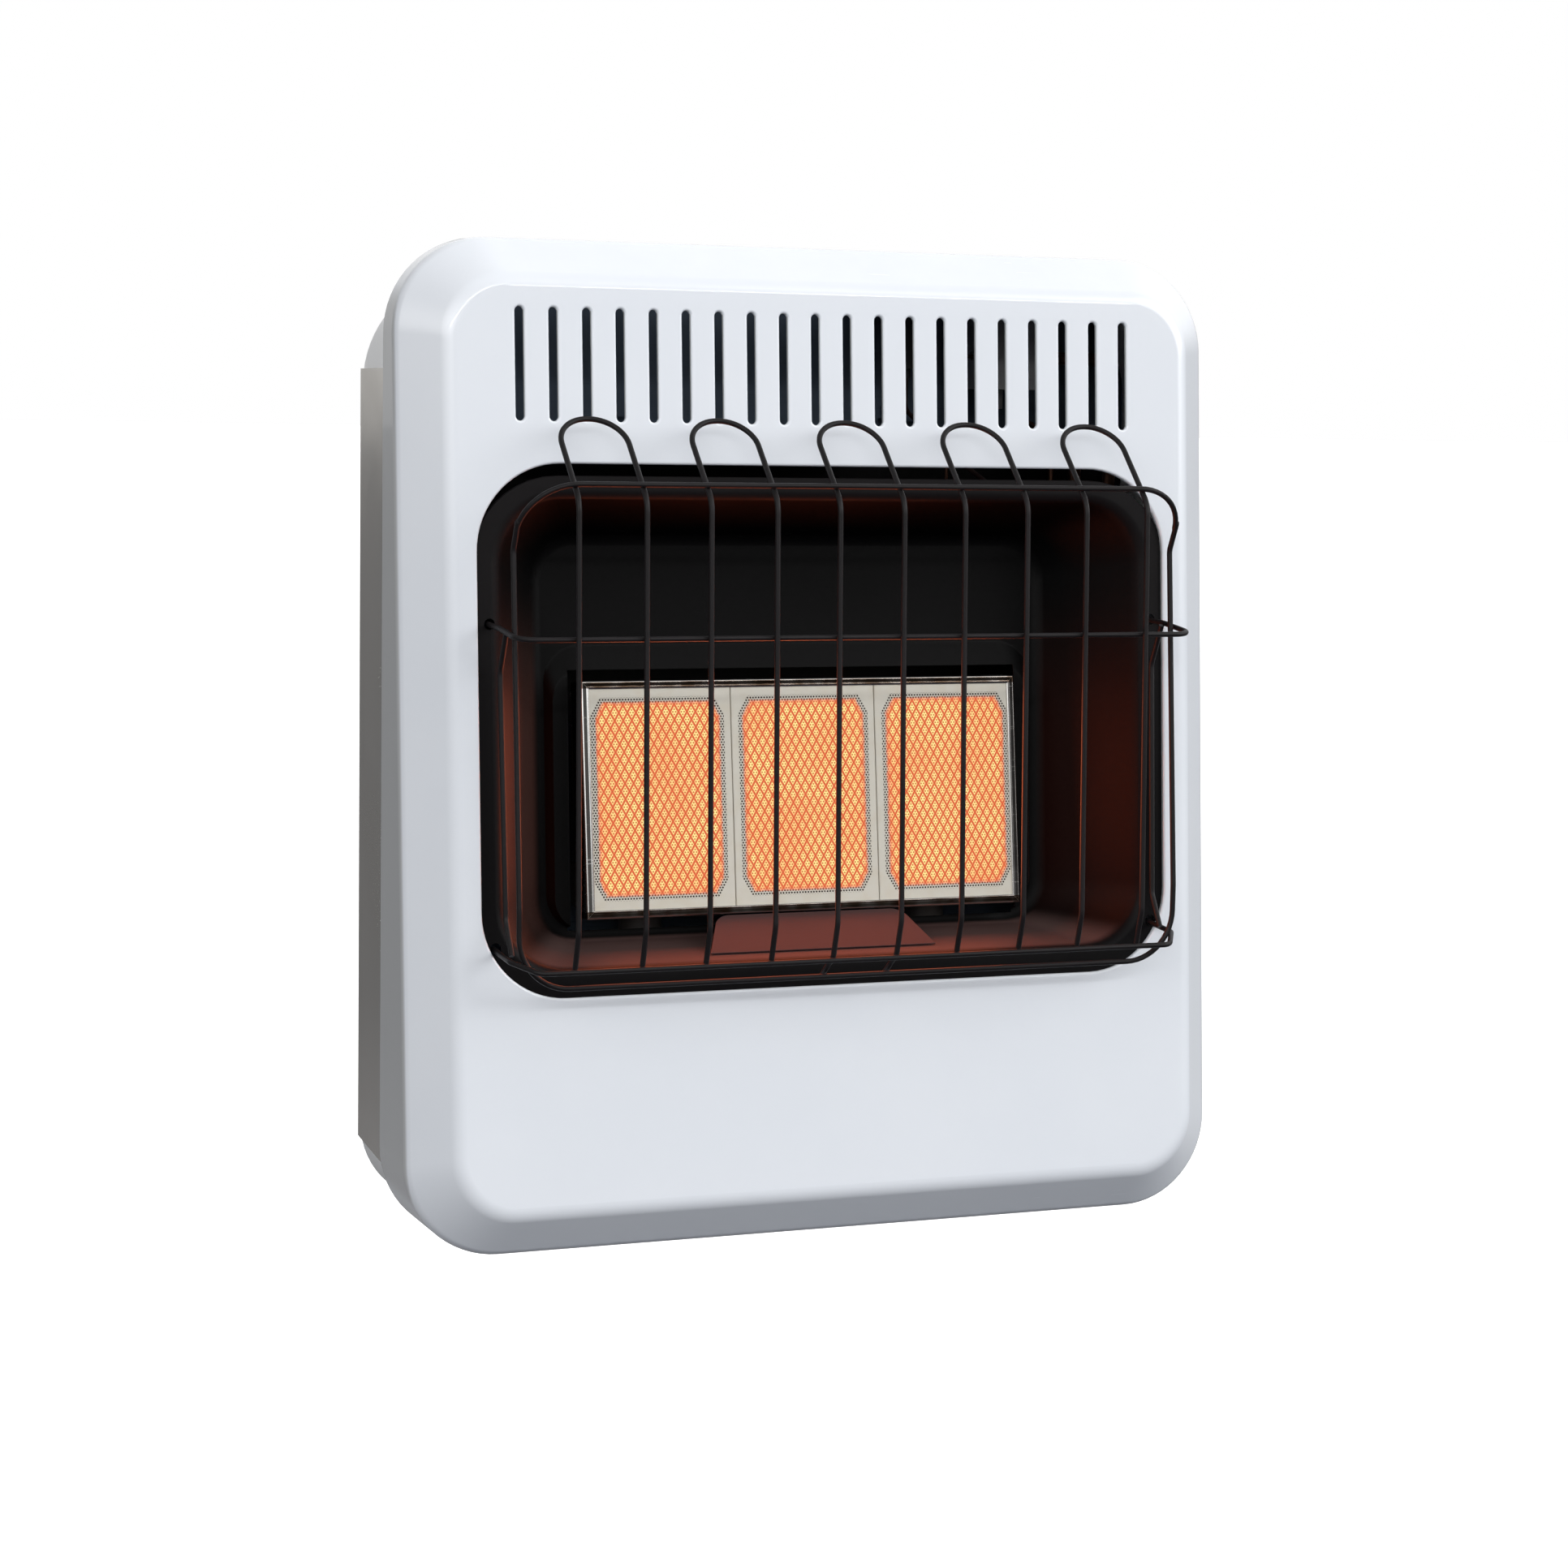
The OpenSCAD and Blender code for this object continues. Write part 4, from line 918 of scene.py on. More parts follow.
@dataclass(frozen=True)
class PointerMarked(Finish):
    """Plastic with a pale pointer line along the front half of the knob's grip."""

    axis: tuple[float, float] = (150 * MM, -38 * MM)
    start: float = 4 * MM
    half_width: float = 0.7 * MM
    blur: float = 0.1 * MM
    ink: Colour = (0.80, 0.80, 0.78)

    def tinted(self, graph: Graph, place: NodeSocket, colour: NodeSocket) -> NodeSocket:
        """Returns the colour with the pointer's line.

        Args:
            graph: Graph of the material.
            place: Place on the object.
            colour: Colour of the surface without its marks.

        Returns:
            The colour with the marks.
        """
        across = graph.size(graph.minus(graph.dot(place, (1, 0, 0)), self.axis[0]))
        ahead = graph.minus(self.axis[1], graph.dot(place, (0, 1, 0)))
        line = graph.ramp(across, self.half_width + self.blur, self.half_width - self.blur)
        begun = graph.ramp(ahead, self.start, self.start + 2 * self.blur)
        return graph.mix(graph.times(line, begun), colour, full(self.ink))


@dataclass(frozen=True)
class Galvanised(Finish):
    """Zinc plated sheet with its frosty spangle; only the faces towards the wall keep its own grey, the
    rest has painted shade.
    """

    spangle: float = 90.0
    # own grey of the zinc, on the faces towards the wall
    outside: Colour = (0.66, 0.68, 0.70)
    crystal: Colour = (0.35, 0.37, 0.4)
    frost: float = 0.35
    # painted shade: near black on the faces away from the wall, behind the bowl
    shade_black: Colour = (0.02, 0.019, 0.019)
    shaded_heights: tuple[float, float] = (-0.30, 0.0)  # heights of the painted shade behind the bowl
    shade_fade: tuple[float, float] = (0.04, 0.02)  # heights over which the painted shade begins and ends

    def tinted(self, graph: Graph, place: NodeSocket, colour: NodeSocket) -> NodeSocket:
        """Returns the colour: own grey and spangled where it faces the wall, else painted shade, near
        black at the bowl's heights.

        Args:
            graph: Graph of the material.
            place: Place on the object.
            colour: Colour of the surface without its marks.

        Returns:
            The colour with the marks.
        """
        to_wall = graph.facing((0, 1, 0))
        faces_wall = graph.ramp(to_wall, 0.3, 0.8)
        colour = graph.mix(faces_wall, colour, full(self.outside))
        cells = graph.add("TexVoronoi", {"feature": "F1"}, Vector=place, Scale=self.spangle)
        light = graph.dot(cells.outputs["Color"], (0.33, 0.33, 0.33))
        frosted = graph.times(graph.ramp(light, 0.2, 0.8, 0, self.frost), faces_wall)
        colour = graph.mix(frosted, colour, full(self.crystal))
        # painted shade, near black behind the bowl
        height = graph.dot(place, (0, 0, 1))
        low, high = self.shaded_heights
        over_low = graph.ramp(height, low, low + self.shade_fade[0])
        under_high = graph.ramp(height, high, high - self.shade_fade[1])
        near = graph.times(under_high, over_low)
        inside = graph.ramp(to_wall, 0.3, -0.2)
        return graph.mix(graph.times(near, inside), colour, full(self.shade_black))


@dataclass(frozen=True)
class Brushed(Finish):
    """Drawn or brushed metal with fine lines along X."""

    def height(self, graph: Graph, place: NodeSocket, grain: NodeSocket) -> NodeSocket:
        """Returns a height of long fine lines.

        Args:
            graph: Graph of the material.
            place: Place on the object.
            grain: Height of the coating's grain.

        Returns:
            The relief's height.
        """
        aim = graph.add("Mapping", None, Vector=place, Scale=(20.0, 4000.0, 4000.0))
        lines = graph.noise(aim.outputs[0], 1.0, 2.0)
        return graph.math("ADD", lines, graph.times(grain, 0.3))


@dataclass(frozen=True)
class ReflectionBandedChrome(Brushed):
    """Bright metal with painted reflections: brownish bands along the middle of the bezel's strips.

    Distances are millimetres in the burner's tilted frame.
    """

    half_width: float = BEZEL_WIDTH / 2 / MM
    half_height: float = BEZEL_HEIGHT / 2 / MM
    # painted reflections: brownish on the top and bottom strips, grey on the right strip
    brown_reflection: Colour = (0.085, 0.055, 0.036)
    grey: Colour = (0.24, 0.23, 0.22)
    edge: tuple[float, float] = (4.6, 1.0)  # the painted reflection bands' distances in from the outer edge
    blur: float = 0.3

    def tinted(self, graph: Graph, place: NodeSocket, colour: NodeSocket) -> NodeSocket:
        """Returns the colour with the painted reflection bands of the top, bottom and right strips.

        Args:
            graph: Graph of the material.
            place: Place on the object.
            colour: Colour of the surface without its marks.

        Returns:
            The colour with the marks.
        """
        local = graph.in_frame(place, AT_BURNER, MM)
        across = graph.dot(local, (1, 0, 0))
        up = graph.size(graph.dot(local, (0, 0, 1)))
        share = graph.ramp(graph.noise(local, 0.06, 3.0), 0.3, 0.6, 0.75, 1.0)
        level = graph.times(self._band(graph, up, self.half_height), share)
        side = graph.times(self._band(graph, across, self.half_width), share)
        return graph.mix(level, graph.mix(side, colour, full(self.grey)), full(self.brown_reflection))

    def _band(self, graph: Graph, reach: NodeSocket, half: float) -> NodeSocket:
        """Returns the mask of a band along an edge that is half away from the middle.

        Args:
            graph: Graph of the material.
            reach: Distance from the middle.
            half: Distance of the edge from the middle.

        Returns:
            The band's mask.
        """
        inner, outer = (half - distance for distance in self.edge)
        begun = graph.ramp(reach, inner - self.blur, inner + self.blur)
        return graph.times(begun, graph.ramp(reach, outer + self.blur, outer - self.blur))


@dataclass(frozen=True)
class GlowPainted(Finish):
    """Black enamel with painted glow: the plaques' reddish light painted on the bowl's floor and sides.
    """

    floor_glow_paint: Colour = (0.078, 0.047, 0.043)
    side_glow_paint: Colour = (0.012, 0.0022, 0.0012)
    left_glow_paint: Colour = (0.045, 0.02, 0.016)
    flange_tint: Colour = (0.003, 0.0026, 0.003)
    flange_top_tint: Colour = (0.008, 0.007, 0.0075)
    flange_heights: tuple[float, float] = (-0.25, -0.04)  # between its two tints
    mouth: float = 9 * MM  # depth over which the flange's tint fades out
    glow_reach: tuple[float, float] = (0.13, 0.03)  # distances above or below the burner's middle, where the painted glow on the sides begins and is full
    sides: tuple[float, float] = (0.35, 0.85)  # cosines to the side that its painted glow fades in between
    level: tuple[float, float] = (0.6, 0.95)  # cosines to straight up for the floor's painted glow
    everywhere: float = 0.0  # share of the floor's painted glow that the whole piece has

    def tinted(self, graph: Graph, place: NodeSocket, colour: NodeSocket) -> NodeSocket:
        """Returns the colour with the painted glow and the paler flange.

        Args:
            graph: Graph of the material.
            place: Place on the object.
            colour: Colour of the surface without its marks.

        Returns:
            The colour with the marks.
        """
        height = graph.dot(place, (0, 0, 1))
        from_burner = graph.size(graph.minus(height, BURNER_MIDDLE - SCREW_LINE))
        near_glow = graph.ramp(from_burner, *self.glow_reach)
        sideways = graph.facing((1, 0, 0))
        left = graph.times(graph.ramp(sideways, *self.sides), near_glow)
        right = graph.times(graph.ramp(graph.times(sideways, -1.0), *self.sides), near_glow)
        floor = graph.ramp(graph.facing((0, 0, 1)), *self.level)
        floor = graph.math("MAXIMUM", floor, self.everywhere)
        behind = graph.dot(graph.in_frame(place, LEANING), (0, 1, 0))
        flange = graph.ramp(behind, FLANGE_DEPTH + self.mouth, FLANGE_DEPTH + MM)
        up = graph.ramp(height, *self.flange_heights)
        paler = graph.mix(up, full(self.flange_tint), full(self.flange_top_tint))
        colour = graph.mix(left, colour, full(self.left_glow_paint))
        colour = graph.mix(right, colour, full(self.side_glow_paint))
        colour = graph.mix(floor, colour, full(self.floor_glow_paint))
        return graph.mix(flange, colour, paler)


@dataclass(frozen=True)
class Ceramic:
    """Perforated burner plaque: a glowing octagonal field in a cream border.

    Distances are millimetres in the burner's tilted frame, round the middle of each plaque.
    """

    name: str = "perforated_ceramic"
    pitch: float = PLAQUE_PITCH / MM
    row: float = 1.533  # between neighbouring rows of holes
    rows_run: tuple[int, ...] = (30, -30, 90)  # directions across the rows, in degrees
    hole_edge: tuple[float, float] = (-0.2, 0.6)  # heights of the added waves at a hole's edge
    groove_rows: int = 3  # rows from one groove to the next
    groove_edge: tuple[float, float] = (0.4, 0.85)
    half_width: float = 41.7
    half_height: float = 59.4
    chamfer: tuple[float, float] = (6.0, 11.0)
    blur: float = 0.15  # at the field's edge
    cold_edge: float = 1.5  # width of the unlit holes round the field
    frayed: float = 1.8  # how much the cold edge varies
    dim_end: tuple[float, float] = (-128.0, -136.5)  # where the burner's left end is colder
    dim_width: float = 2.6  # width that the cold edge gains there
    lit_edge: tuple[float, float] = (-0.6, 1.6)  # distances in from the cold edge
    hot_edge: tuple[float, float] = (0.4, 4.5)
    border: Colour = (0.655, 0.625, 0.55)
    stain: Colour = (0.62, 0.56, 0.45)
    cell: Colour = (1.0, 0.86, 0.32)
    flame: Colour = (1.0, 0.36, 0.13)
    ember: Colour = (0.95, 0.33, 0.16)
    groove: Colour = (0.72, 0.10, 0.03)
    hole: Colour = (0.50, 0.08, 0.012)
    # painted shade: the holes of the unlit edge, dark for the shade down in them
    hole_shade: Colour = (0.035, 0.022, 0.018)
    scorched: Colour = (0.12, 0.06, 0.03)
    relief_depth: float = 0.0004

    def build(self) -> Material:
        """Returns the plaques' material."""
        material, graph, shader, place = new_material(self.name)
        local = graph.in_frame(place, AT_BURNER, MM)
        parts = graph.add("SeparateXYZ", None, Vector=local)
        along, up = parts.outputs["X"], parts.outputs["Z"]
        column = graph.math("ROUND", graph.math("DIVIDE", along, self.pitch))
        across = graph.minus(along, graph.times(column, self.pitch))
        grid = graph.add("CombineXYZ", None, X=across, Z=up).outputs[0]
        holes, grooves = self._holes(graph, grid), self._grooves(graph, grid)

        inside = self._distance_inside(graph, across, up)
        perforated = graph.ramp(inside, -self.blur, self.blur)
        reach = graph.minus(inside, self._cold_width(graph, local, along))
        shown = graph.times(graph.ramp(reach, *self.lit_edge), perforated)
        cold = graph.times(holes, perforated)

        glow = self._glow(graph, local, reach, holes, grooves)
        graph.put(shader.inputs["Emission Color"], graph.mix(shown, full((0, 0, 0)), glow))
        stains = graph.ramp(graph.noise(local, 0.09, 5.0), 0.4, 0.75, 0, 0.5)
        base = graph.mix(stains, full(self.border), full(self.stain))
        # painted shade in the holes of the unlit edge
        base = graph.mix(cold, base, full(self.hole_shade))
        graph.put(shader.inputs["Base Color"], graph.mix(shown, base, full(self.scorched)))
        set_plain(shader, Emission_Strength=1.0, Roughness=0.85)

        dent = graph.math("MAXIMUM", cold, graph.times(grooves, graph.times(perforated, 0.6)))
        level = graph.minus(graph.times(graph.noise(local, 4.0, 2.0), 0.15), dent)
        bump = graph.add("Bump", None, Strength=0.6, Distance=self.relief_depth, Height=level)
        graph.put(shader.inputs["Normal"], bump.outputs[0])
        return material

    def _wave(self, graph: Graph, grid: NodeSocket, angle: float, period: float) -> NodeSocket:
        """Returns a cosine across the face, with its crests square to an angle and a period apart.

        Args:
            graph: Graph of the material.
            grid: Place on the plaque's face, in millimetres.
            angle: Direction that it runs in, in degrees.
            period: Between its crests.

        Returns:
            The wave, from -1 to 1.
        """
        turn = math.radians(angle)
        rate = math.tau / period
        reach = graph.dot(grid, (math.cos(turn) * rate, 0, math.sin(turn) * rate))
        return graph.math("COSINE", reach)

    def _holes(self, graph: Graph, grid: NodeSocket) -> NodeSocket:
        """Returns the mask of the holes, where three waves meet.

        Args:
            graph: Graph of the material.
            grid: Place on the plaque's face, in millimetres.

        Returns:
            The holes' mask.
        """
        first, second, third = (self._wave(graph, grid, a, self.row) for a in self.rows_run)
        peaks = graph.math("ADD", graph.math("ADD", first, second), third)
        return graph.ramp(peaks, *self.hole_edge)

    def _grooves(self, graph: Graph, grid: NodeSocket) -> NodeSocket:
        """Returns the mask of the grooves that cross in diamonds.

        Args:
            graph: Graph of the material.
            grid: Place on the plaque's face, in millimetres.

        Returns:
            The grooves' mask.
        """
        period = self.row * self.groove_rows
        first, second = (
            graph.ramp(self._wave(graph, grid, a, period), *self.groove_edge)
            for a in self.rows_run[:2]
        )
        return graph.math("MAXIMUM", first, second)

    def _cold_width(self, graph: Graph, local: NodeSocket, along: NodeSocket) -> NodeSocket:
        """Returns the frayed width of the unlit holes, wider at the burner's left end.

        Args:
            graph: Graph of the material.
            local: Place in the burner's frame.
            along: Distance along the burner from its middle.

        Returns:
            The width.
        """
        wider = graph.times(graph.ramp(along, *self.dim_end), self.dim_width)
        uneven = graph.times(graph.noise(local, 0.35, 3.0), self.frayed)
        return graph.math("ADD", graph.math("ADD", uneven, self.cold_edge), wider)

    def _glow(
        self, graph: Graph, local: NodeSocket, reach: NodeSocket, holes: NodeSocket, grooves: NodeSocket
    ) -> NodeSocket:
        """Returns the colour of the glowing field, cooler in its holes, grooves and edge.

        Args:
            graph: Graph of the material.
            local: Place in the burner's frame.
            reach: Distance in from the unlit holes.
            holes: Mask of the holes.
            grooves: Mask of the grooves.

        Returns:
            The colour.
        """
        drift = graph.ramp(graph.noise(local, 0.03, 2.0), 0.35, 0.7, 0.0, 0.45)
        cell = graph.mix(drift, full(self.cell), full(self.flame))
        cell = graph.mix(graph.ramp(reach, *self.hot_edge), full(self.ember), cell)
        glow = graph.mix(grooves, cell, full(self.groove))
        return graph.mix(graph.times(holes, 0.9), glow, full(self.hole))

    def _distance_inside(self, graph: Graph, across: NodeSocket, up: NodeSocket) -> NodeSocket:
        """Returns how far inside the octagonal field a place is.

        Args:
            graph: Graph of the material.
            across: Distance from the plaque's middle to its right.
            up: Distance above the plaque's middle.

        Returns:
            The distance from the nearest edge, below 0 outside.
        """
        x, z = graph.size(across), graph.size(up)
        run, rise = self.chamfer
        slant = math.hypot(run, rise)
        corner = (self.half_width * rise + (self.half_height - rise) * run) / slant
        along_cut = graph.math("ADD", graph.times(x, rise / slant), graph.times(z, run / slant))
        straight = graph.math(
            "MINIMUM", graph.minus(self.half_width, x), graph.minus(self.half_height, z)
        )
        return graph.math("MINIMUM", straight, graph.minus(corner, along_cut))


@dataclass(frozen=True)
class Finishes:
    """All the finishes by name; most are named as the record's material slots."""

    made: dict[str, Material]

    def dress(self, obj: Object, slot: str) -> None:
        """Gives an object one finish all over."""
        obj.data.materials.clear()
        obj.data.materials.append(self.made[slot])

    def dress_nodes(self, nodes: dict[str, Object], slots: dict[str, str]) -> None:
        """Gives each CAD node the finish of its slot.

        Args:
            nodes: The frame's nodes by name.
            slots: Name of each node's finish.
        """
        for name, obj in nodes.items():
            for place in obj.material_slots:
                place.link = "OBJECT"
                place.material = self.made[slots[name]]
            LOG.info("the solid of %s takes %s", name, slots[name])


def build_finishes() -> Finishes:
    """Builds the shared groups and every finish."""
    build_grain()
    build_scuffs()
    build_dust()
    white, white_shade = (0.83, 0.863, 0.915), (0.81, 0.845, 0.90)
    black, black_shade = (0.0012, 0.0011, 0.0012), (0.002, 0.0018, 0.002)
    made = [
        # painted shade: the enamel is greyer on the side walls, where less light falls
        SideShaded(
            "enamel", white, white_shade, roughness=0.2, roughness_spread=0.05, coat=0.5,
            fineness=700, relief=0.05, relief_depth=0.00006, scuffs=0.04, dust=0.03,
        ),
        Finish(
            "cabinet", (0.82, 0.83, 0.84), (0.78, 0.79, 0.80), roughness=0.28, coat=0.3,
            fineness=900, relief=0.06, relief_depth=0.00008, dust=0.1,
        ),
        Brushed(
            "skin", (0.72, 0.69, 0.645), (0.66, 0.63, 0.585), roughness=0.13, metallic=1.0,
            relief=0.03, relief_depth=0.00003, dust=0.05,
        ),
        # painted shade: a dark blue-grey for the shade inside the cabinet, where the zinc does not face
        # the wall
        Galvanised(
            "zinc", (0.16, 0.20, 0.26), (0.13, 0.17, 0.22), roughness=0.32, metallic=0.9,
            roughness_spread=0.2, relief=0.05, scuffs=0.3, dust=0.3,
        ),
        Finish(
            "black_enamel", black, black_shade, roughness=0.3, specular=0.16, fineness=2600,
            relief=0.35, relief_depth=0.00012, scuffs=0.12, dust=0.05, dust_colour=(0.12, 0.11, 0.1),
        ),
        # painted glow: the plaques' light painted on the bowl's floor and sides
        GlowPainted(
            "glow_painted_enamel", black, black_shade, roughness=0.44, specular=0.09, fineness=2600,
            relief=0.35, relief_depth=0.00012, scuffs=0.12, dust=0.0,
        ),
        # painted glow: the plaques' light painted over the whole plate
        GlowPainted(
            "glow_painted_plate", black, black_shade, roughness=0.45, specular=0.14, fineness=2600,
            relief=0.2, relief_depth=0.0001, scuffs=0.12, dust=0.0,
            floor_glow_paint=(0.06, 0.030, 0.029), everywhere=1.0,
        ),
        Finish(
            "guard_wire", (0.008, 0.007, 0.0075), (0.011, 0.0095, 0.0105), roughness=0.42,
            specular=0.2, fineness=2600, relief=0.3, relief_depth=0.0001, dust=0.04,
            dust_colour=(0.12, 0.11, 0.1),
        ),
        Finish(
            "fibre", (0.78, 0.76, 0.72), (0.68, 0.65, 0.6), roughness=0.95, specular=0.2,
            fineness=1200, relief=0.6, relief_depth=0.0004, scuffs=0.0, dust=0.2,
        ),
        # painted reflections in the bezel's strips, brownish and grey
        ReflectionBandedChrome(
            "chrome", (0.80, 0.79, 0.77), (0.70, 0.68, 0.65), roughness=0.06, metallic=1.0,
            roughness_spread=0.07, relief=0.08, relief_depth=0.00003, scuffs=0.3, dust=0.0,
        ),
        Finish(
            "burner_steel", (0.045, 0.043, 0.042), (0.07, 0.06, 0.055), roughness=0.45,
            metallic=0.3, roughness_spread=0.2, relief=0.2, scuffs=0.3, dust=0.25,
        ),
        Brushed(
            "brass", (0.72, 0.50, 0.20), (0.60, 0.40, 0.16), roughness=0.28, metallic=1.0,
            roughness_spread=0.2, relief=0.1, relief_depth=0.00004, scuffs=0.3, dust=0.15,
        ),
        Finish(
            "casting", (0.50, 0.50, 0.51), (0.42, 0.42, 0.43), roughness=0.5, metallic=0.85,
            fineness=900, relief=0.5, relief_depth=0.0002, scuffs=0.2, dust=0.3,
        ),
        Finish(
            "dial", (0.72, 0.73, 0.74), (0.66, 0.67, 0.68), roughness=0.35, metallic=0.6,
            relief=0.04, scuffs=0.2, dust=0.1,
        ),
        *(
            kind(
                name, (0.02, 0.02, 0.021), (0.026, 0.026, 0.027), roughness=0.42, fineness=1800,
                relief=0.25, relief_depth=0.0001, scuffs=0.15, dust=0.1,
            )
            for kind, name in ((Finish, "black_plastic"), (PointerMarked, "pointed_plastic"))
        ),
        Brushed(
            "copper", (0.22, 0.11, 0.07), (0.15, 0.08, 0.055), roughness=0.3, metallic=1.0,
            roughness_spread=0.25, relief=0.08, relief_depth=0.00003, scuffs=0.3, dust=0.2,
        ),
        Finish(
            "lead", (0.03, 0.008, 0.006), (0.022, 0.007, 0.005), roughness=0.55, fineness=1500,
            relief=0.2, relief_depth=0.0001, scuffs=0.1, dust=0.2,
        ),
    ]
    finishes = {finish.name: finish.build() for finish in made}
    finishes["plaque"] = Ceramic().build()
    return Finishes(finishes)


def hang_lamp(name: str, size: tuple[float, float], shine: float) -> Object:
    """Makes a flat lamp.

    Args:
        name: Name of the lamp.
        size: Width and height of its face, in metres.
        shine: Brightness of its face, where 1 is the white of the background.

    Returns:
        The lamp's object, still at the origin.
    """
    lamp = bpy.data.lights.new(name, "AREA")
    lamp.shape = "RECTANGLE"
    lamp.size, lamp.size_y = size
    lamp.energy = shine * math.pi * size[0] * size[1]
    holder = bpy.data.objects.new(name, lamp)
    bpy.context.scene.collection.objects.link(holder)
    return holder


# --- casing ---------------------------------------------------------------------------------------


def soft_bend(radius: float, start: float, end: float, steps: int) -> list[tuple[float, float]]:
    """Returns the (inset, rise) pairs of a bend in a sheet, from one slope to another.

    Args:
        radius: Radius of the bend.
        start: Angle of the sheet from straight forward before the bend, in degrees.
        end: The same after the bend.
        steps: Number of pairs after the start.

    Returns:
        Distances from the bend's start.
    """
    first = math.radians(start)
    turned = [first + (math.radians(end) - first) * k / steps for k in range(1, steps + 1)]
    return [
        (radius * (math.cos(first) - math.cos(a)), radius * (math.sin(a) - math.sin(first)))
        for a in turned
    ]


@dataclass
class FrontCasing:
    """The pressed front shell with its bevel, window and hot air slots."""

    width: float = 512 * MM
    height: float = 578 * MM
    radius: float = 55 * MM
    sheet: float = 1 * MM
    rear_y: float = 76.7 * MM  # from the wall to the shell's flat rear edge
    rim_depth: float = 2 * MM
    skirt: float = 50 * MM
    rim_bend: float = 10.2 * MM
    face_bend: float = 12.7 * MM
    bend_steps: int = 6
    bevel: float = 45  # angle of the sloped edge from straight forward, in degrees
    slope: float = 18 * MM  # straight part of the sloped edge, across and forward
    corner_share: float = 0.8  # of an inset that a corner's radius loses
    window: Ring = Ring(432 * MM, 147.95 * MM, 450.45 * MM, 50 * MM)
    window_soft: float = 1.6 * MM
    lip: float = 2.8 * MM
    slot_count: int = 20
    slot_pitch: float = 19.96 * MM
    slot_width: float = 5.2 * MM
    slot_length: float = 64 * MM
    slot_middle: float = 506.3 * MM
    slot_flare: float = 1.5 * MM
    slot_lip: float = 2.6 * MM
    edge_turns: tuple[float, ...] = (0, 0.4, 0.8, 1.2)  # angles round a turned edge, in radians

    def rings(self) -> list[Ring]:
        """Returns the shell's outlines from its rear edge to its face."""
        rim = self.height / math.cos(LEAN)
        places = [(0.0, self.rim_depth + self.skirt), (0.0, self.rim_depth)]
        for bend, start, end, run in (
            (self.rim_bend, 0, self.bevel, self.slope),
            (self.face_bend, self.bevel, 90, 0),
        ):
            inset, depth = places[-1]
            bent = soft_bend(bend, start, end, self.bend_steps)
            places += [(inset + s, depth - d) for s, d in bent]
            if run:
                inset, depth = places[-1]
                places.append((inset + run, depth - run))
        return [
            Ring(
                self.width - 2 * inset,
                inset,
                rim - inset,
                self.radius - inset * self.corner_share,
                depth,
            )
            for inset, depth in places
        ]

    def turned_in(self, hole: Ring, soft: float, lip: float, face: float) -> list[Ring]:
        """Returns the outlines of a hole's edge that is bent inwards from the face.

        Args:
            hole: Outline of the finished hole.
            soft: Radius of the bend.
            lip: How far the edge reaches in from the face.
            face: Depth of the face.

        Returns:
            Outlines from the face inwards.
        """
        arcs = [(soft * (1 - math.sin(a)), soft * (1 - math.cos(a))) for a in self.edge_turns]
        rings = [hole.moved(grow, face + depth) for grow, depth in arcs]
        return rings + [hole.moved(0, face + soft), hole.moved(0, face + lip)]

    def slot_rims(self, face: float) -> Object:
        """Returns the row of slot rims, one modelled and the rest copied.

        Args:
            face: Depth of the face.

        Returns:
            The rims as one object.
        """
        piece = Workpiece("slot_rims", steps=6)
        reach = self.slot_length / 2
        slot = Ring(
            self.slot_width,
            self.slot_middle - reach,
            self.slot_middle + reach,
            self.slot_width / 2 - NEAR / 4,
        )
        piece.loft(self.turned_in(slot, self.slot_flare, self.slot_lip, face)).to_bench()
        piece.apply(
            "ARRAY",
            count=self.slot_count,
            use_relative_offset=False,
            use_constant_offset=True,
            constant_offset_displace=(self.slot_pitch, 0, 0),
        )
        start = -self.slot_pitch * (self.slot_count - 1) / 2
        return piece.place(Matrix.Translation((start, 0, 0))).obj

    def build(self) -> Object:
        """Returns the finished shell."""
        rings = self.rings()
        face = rings[-1].depth
        slots = self.slot_rims(face)
        piece = Workpiece("casing_shell", steps=16)
        piece.loft(rings)
        piece.loft(self.turned_in(self.window, self.window_soft, self.lip, face)).to_bench()
        piece.join(slots).to_edit()
        piece.fill_flat(face).face_room(lambda p: abs(p.y - face) < NEAR).to_bench()
        piece.place(LEANING).to_edit().pick_verts(self._at_rear)
        bpy.ops.transform.resize(value=(1, 0, 1), center_override=(0, -self.rear_y, 0))
        sunk = (self.rim_depth + self.skirt) * math.sin(LEAN)
        bpy.ops.transform.translate(value=(0, 0, sunk))
        piece.to_bench().thicken(self.sheet).shade(30)
        return piece.finish(Body.HEATER, "enamel", "front_casing")

    def _at_rear(self, place: Vector) -> bool:
        """Tells whether a place is on the shell's rear outline.

        Args:
            place: Place in the heater's frame.

        Returns:
            Whether it is.
        """
        local = LEANING.inverted() @ place
        return abs(local.y - self.rim_depth - self.skirt) < NEAR


# --- bowl -----------------------------------------------------------------------------------------


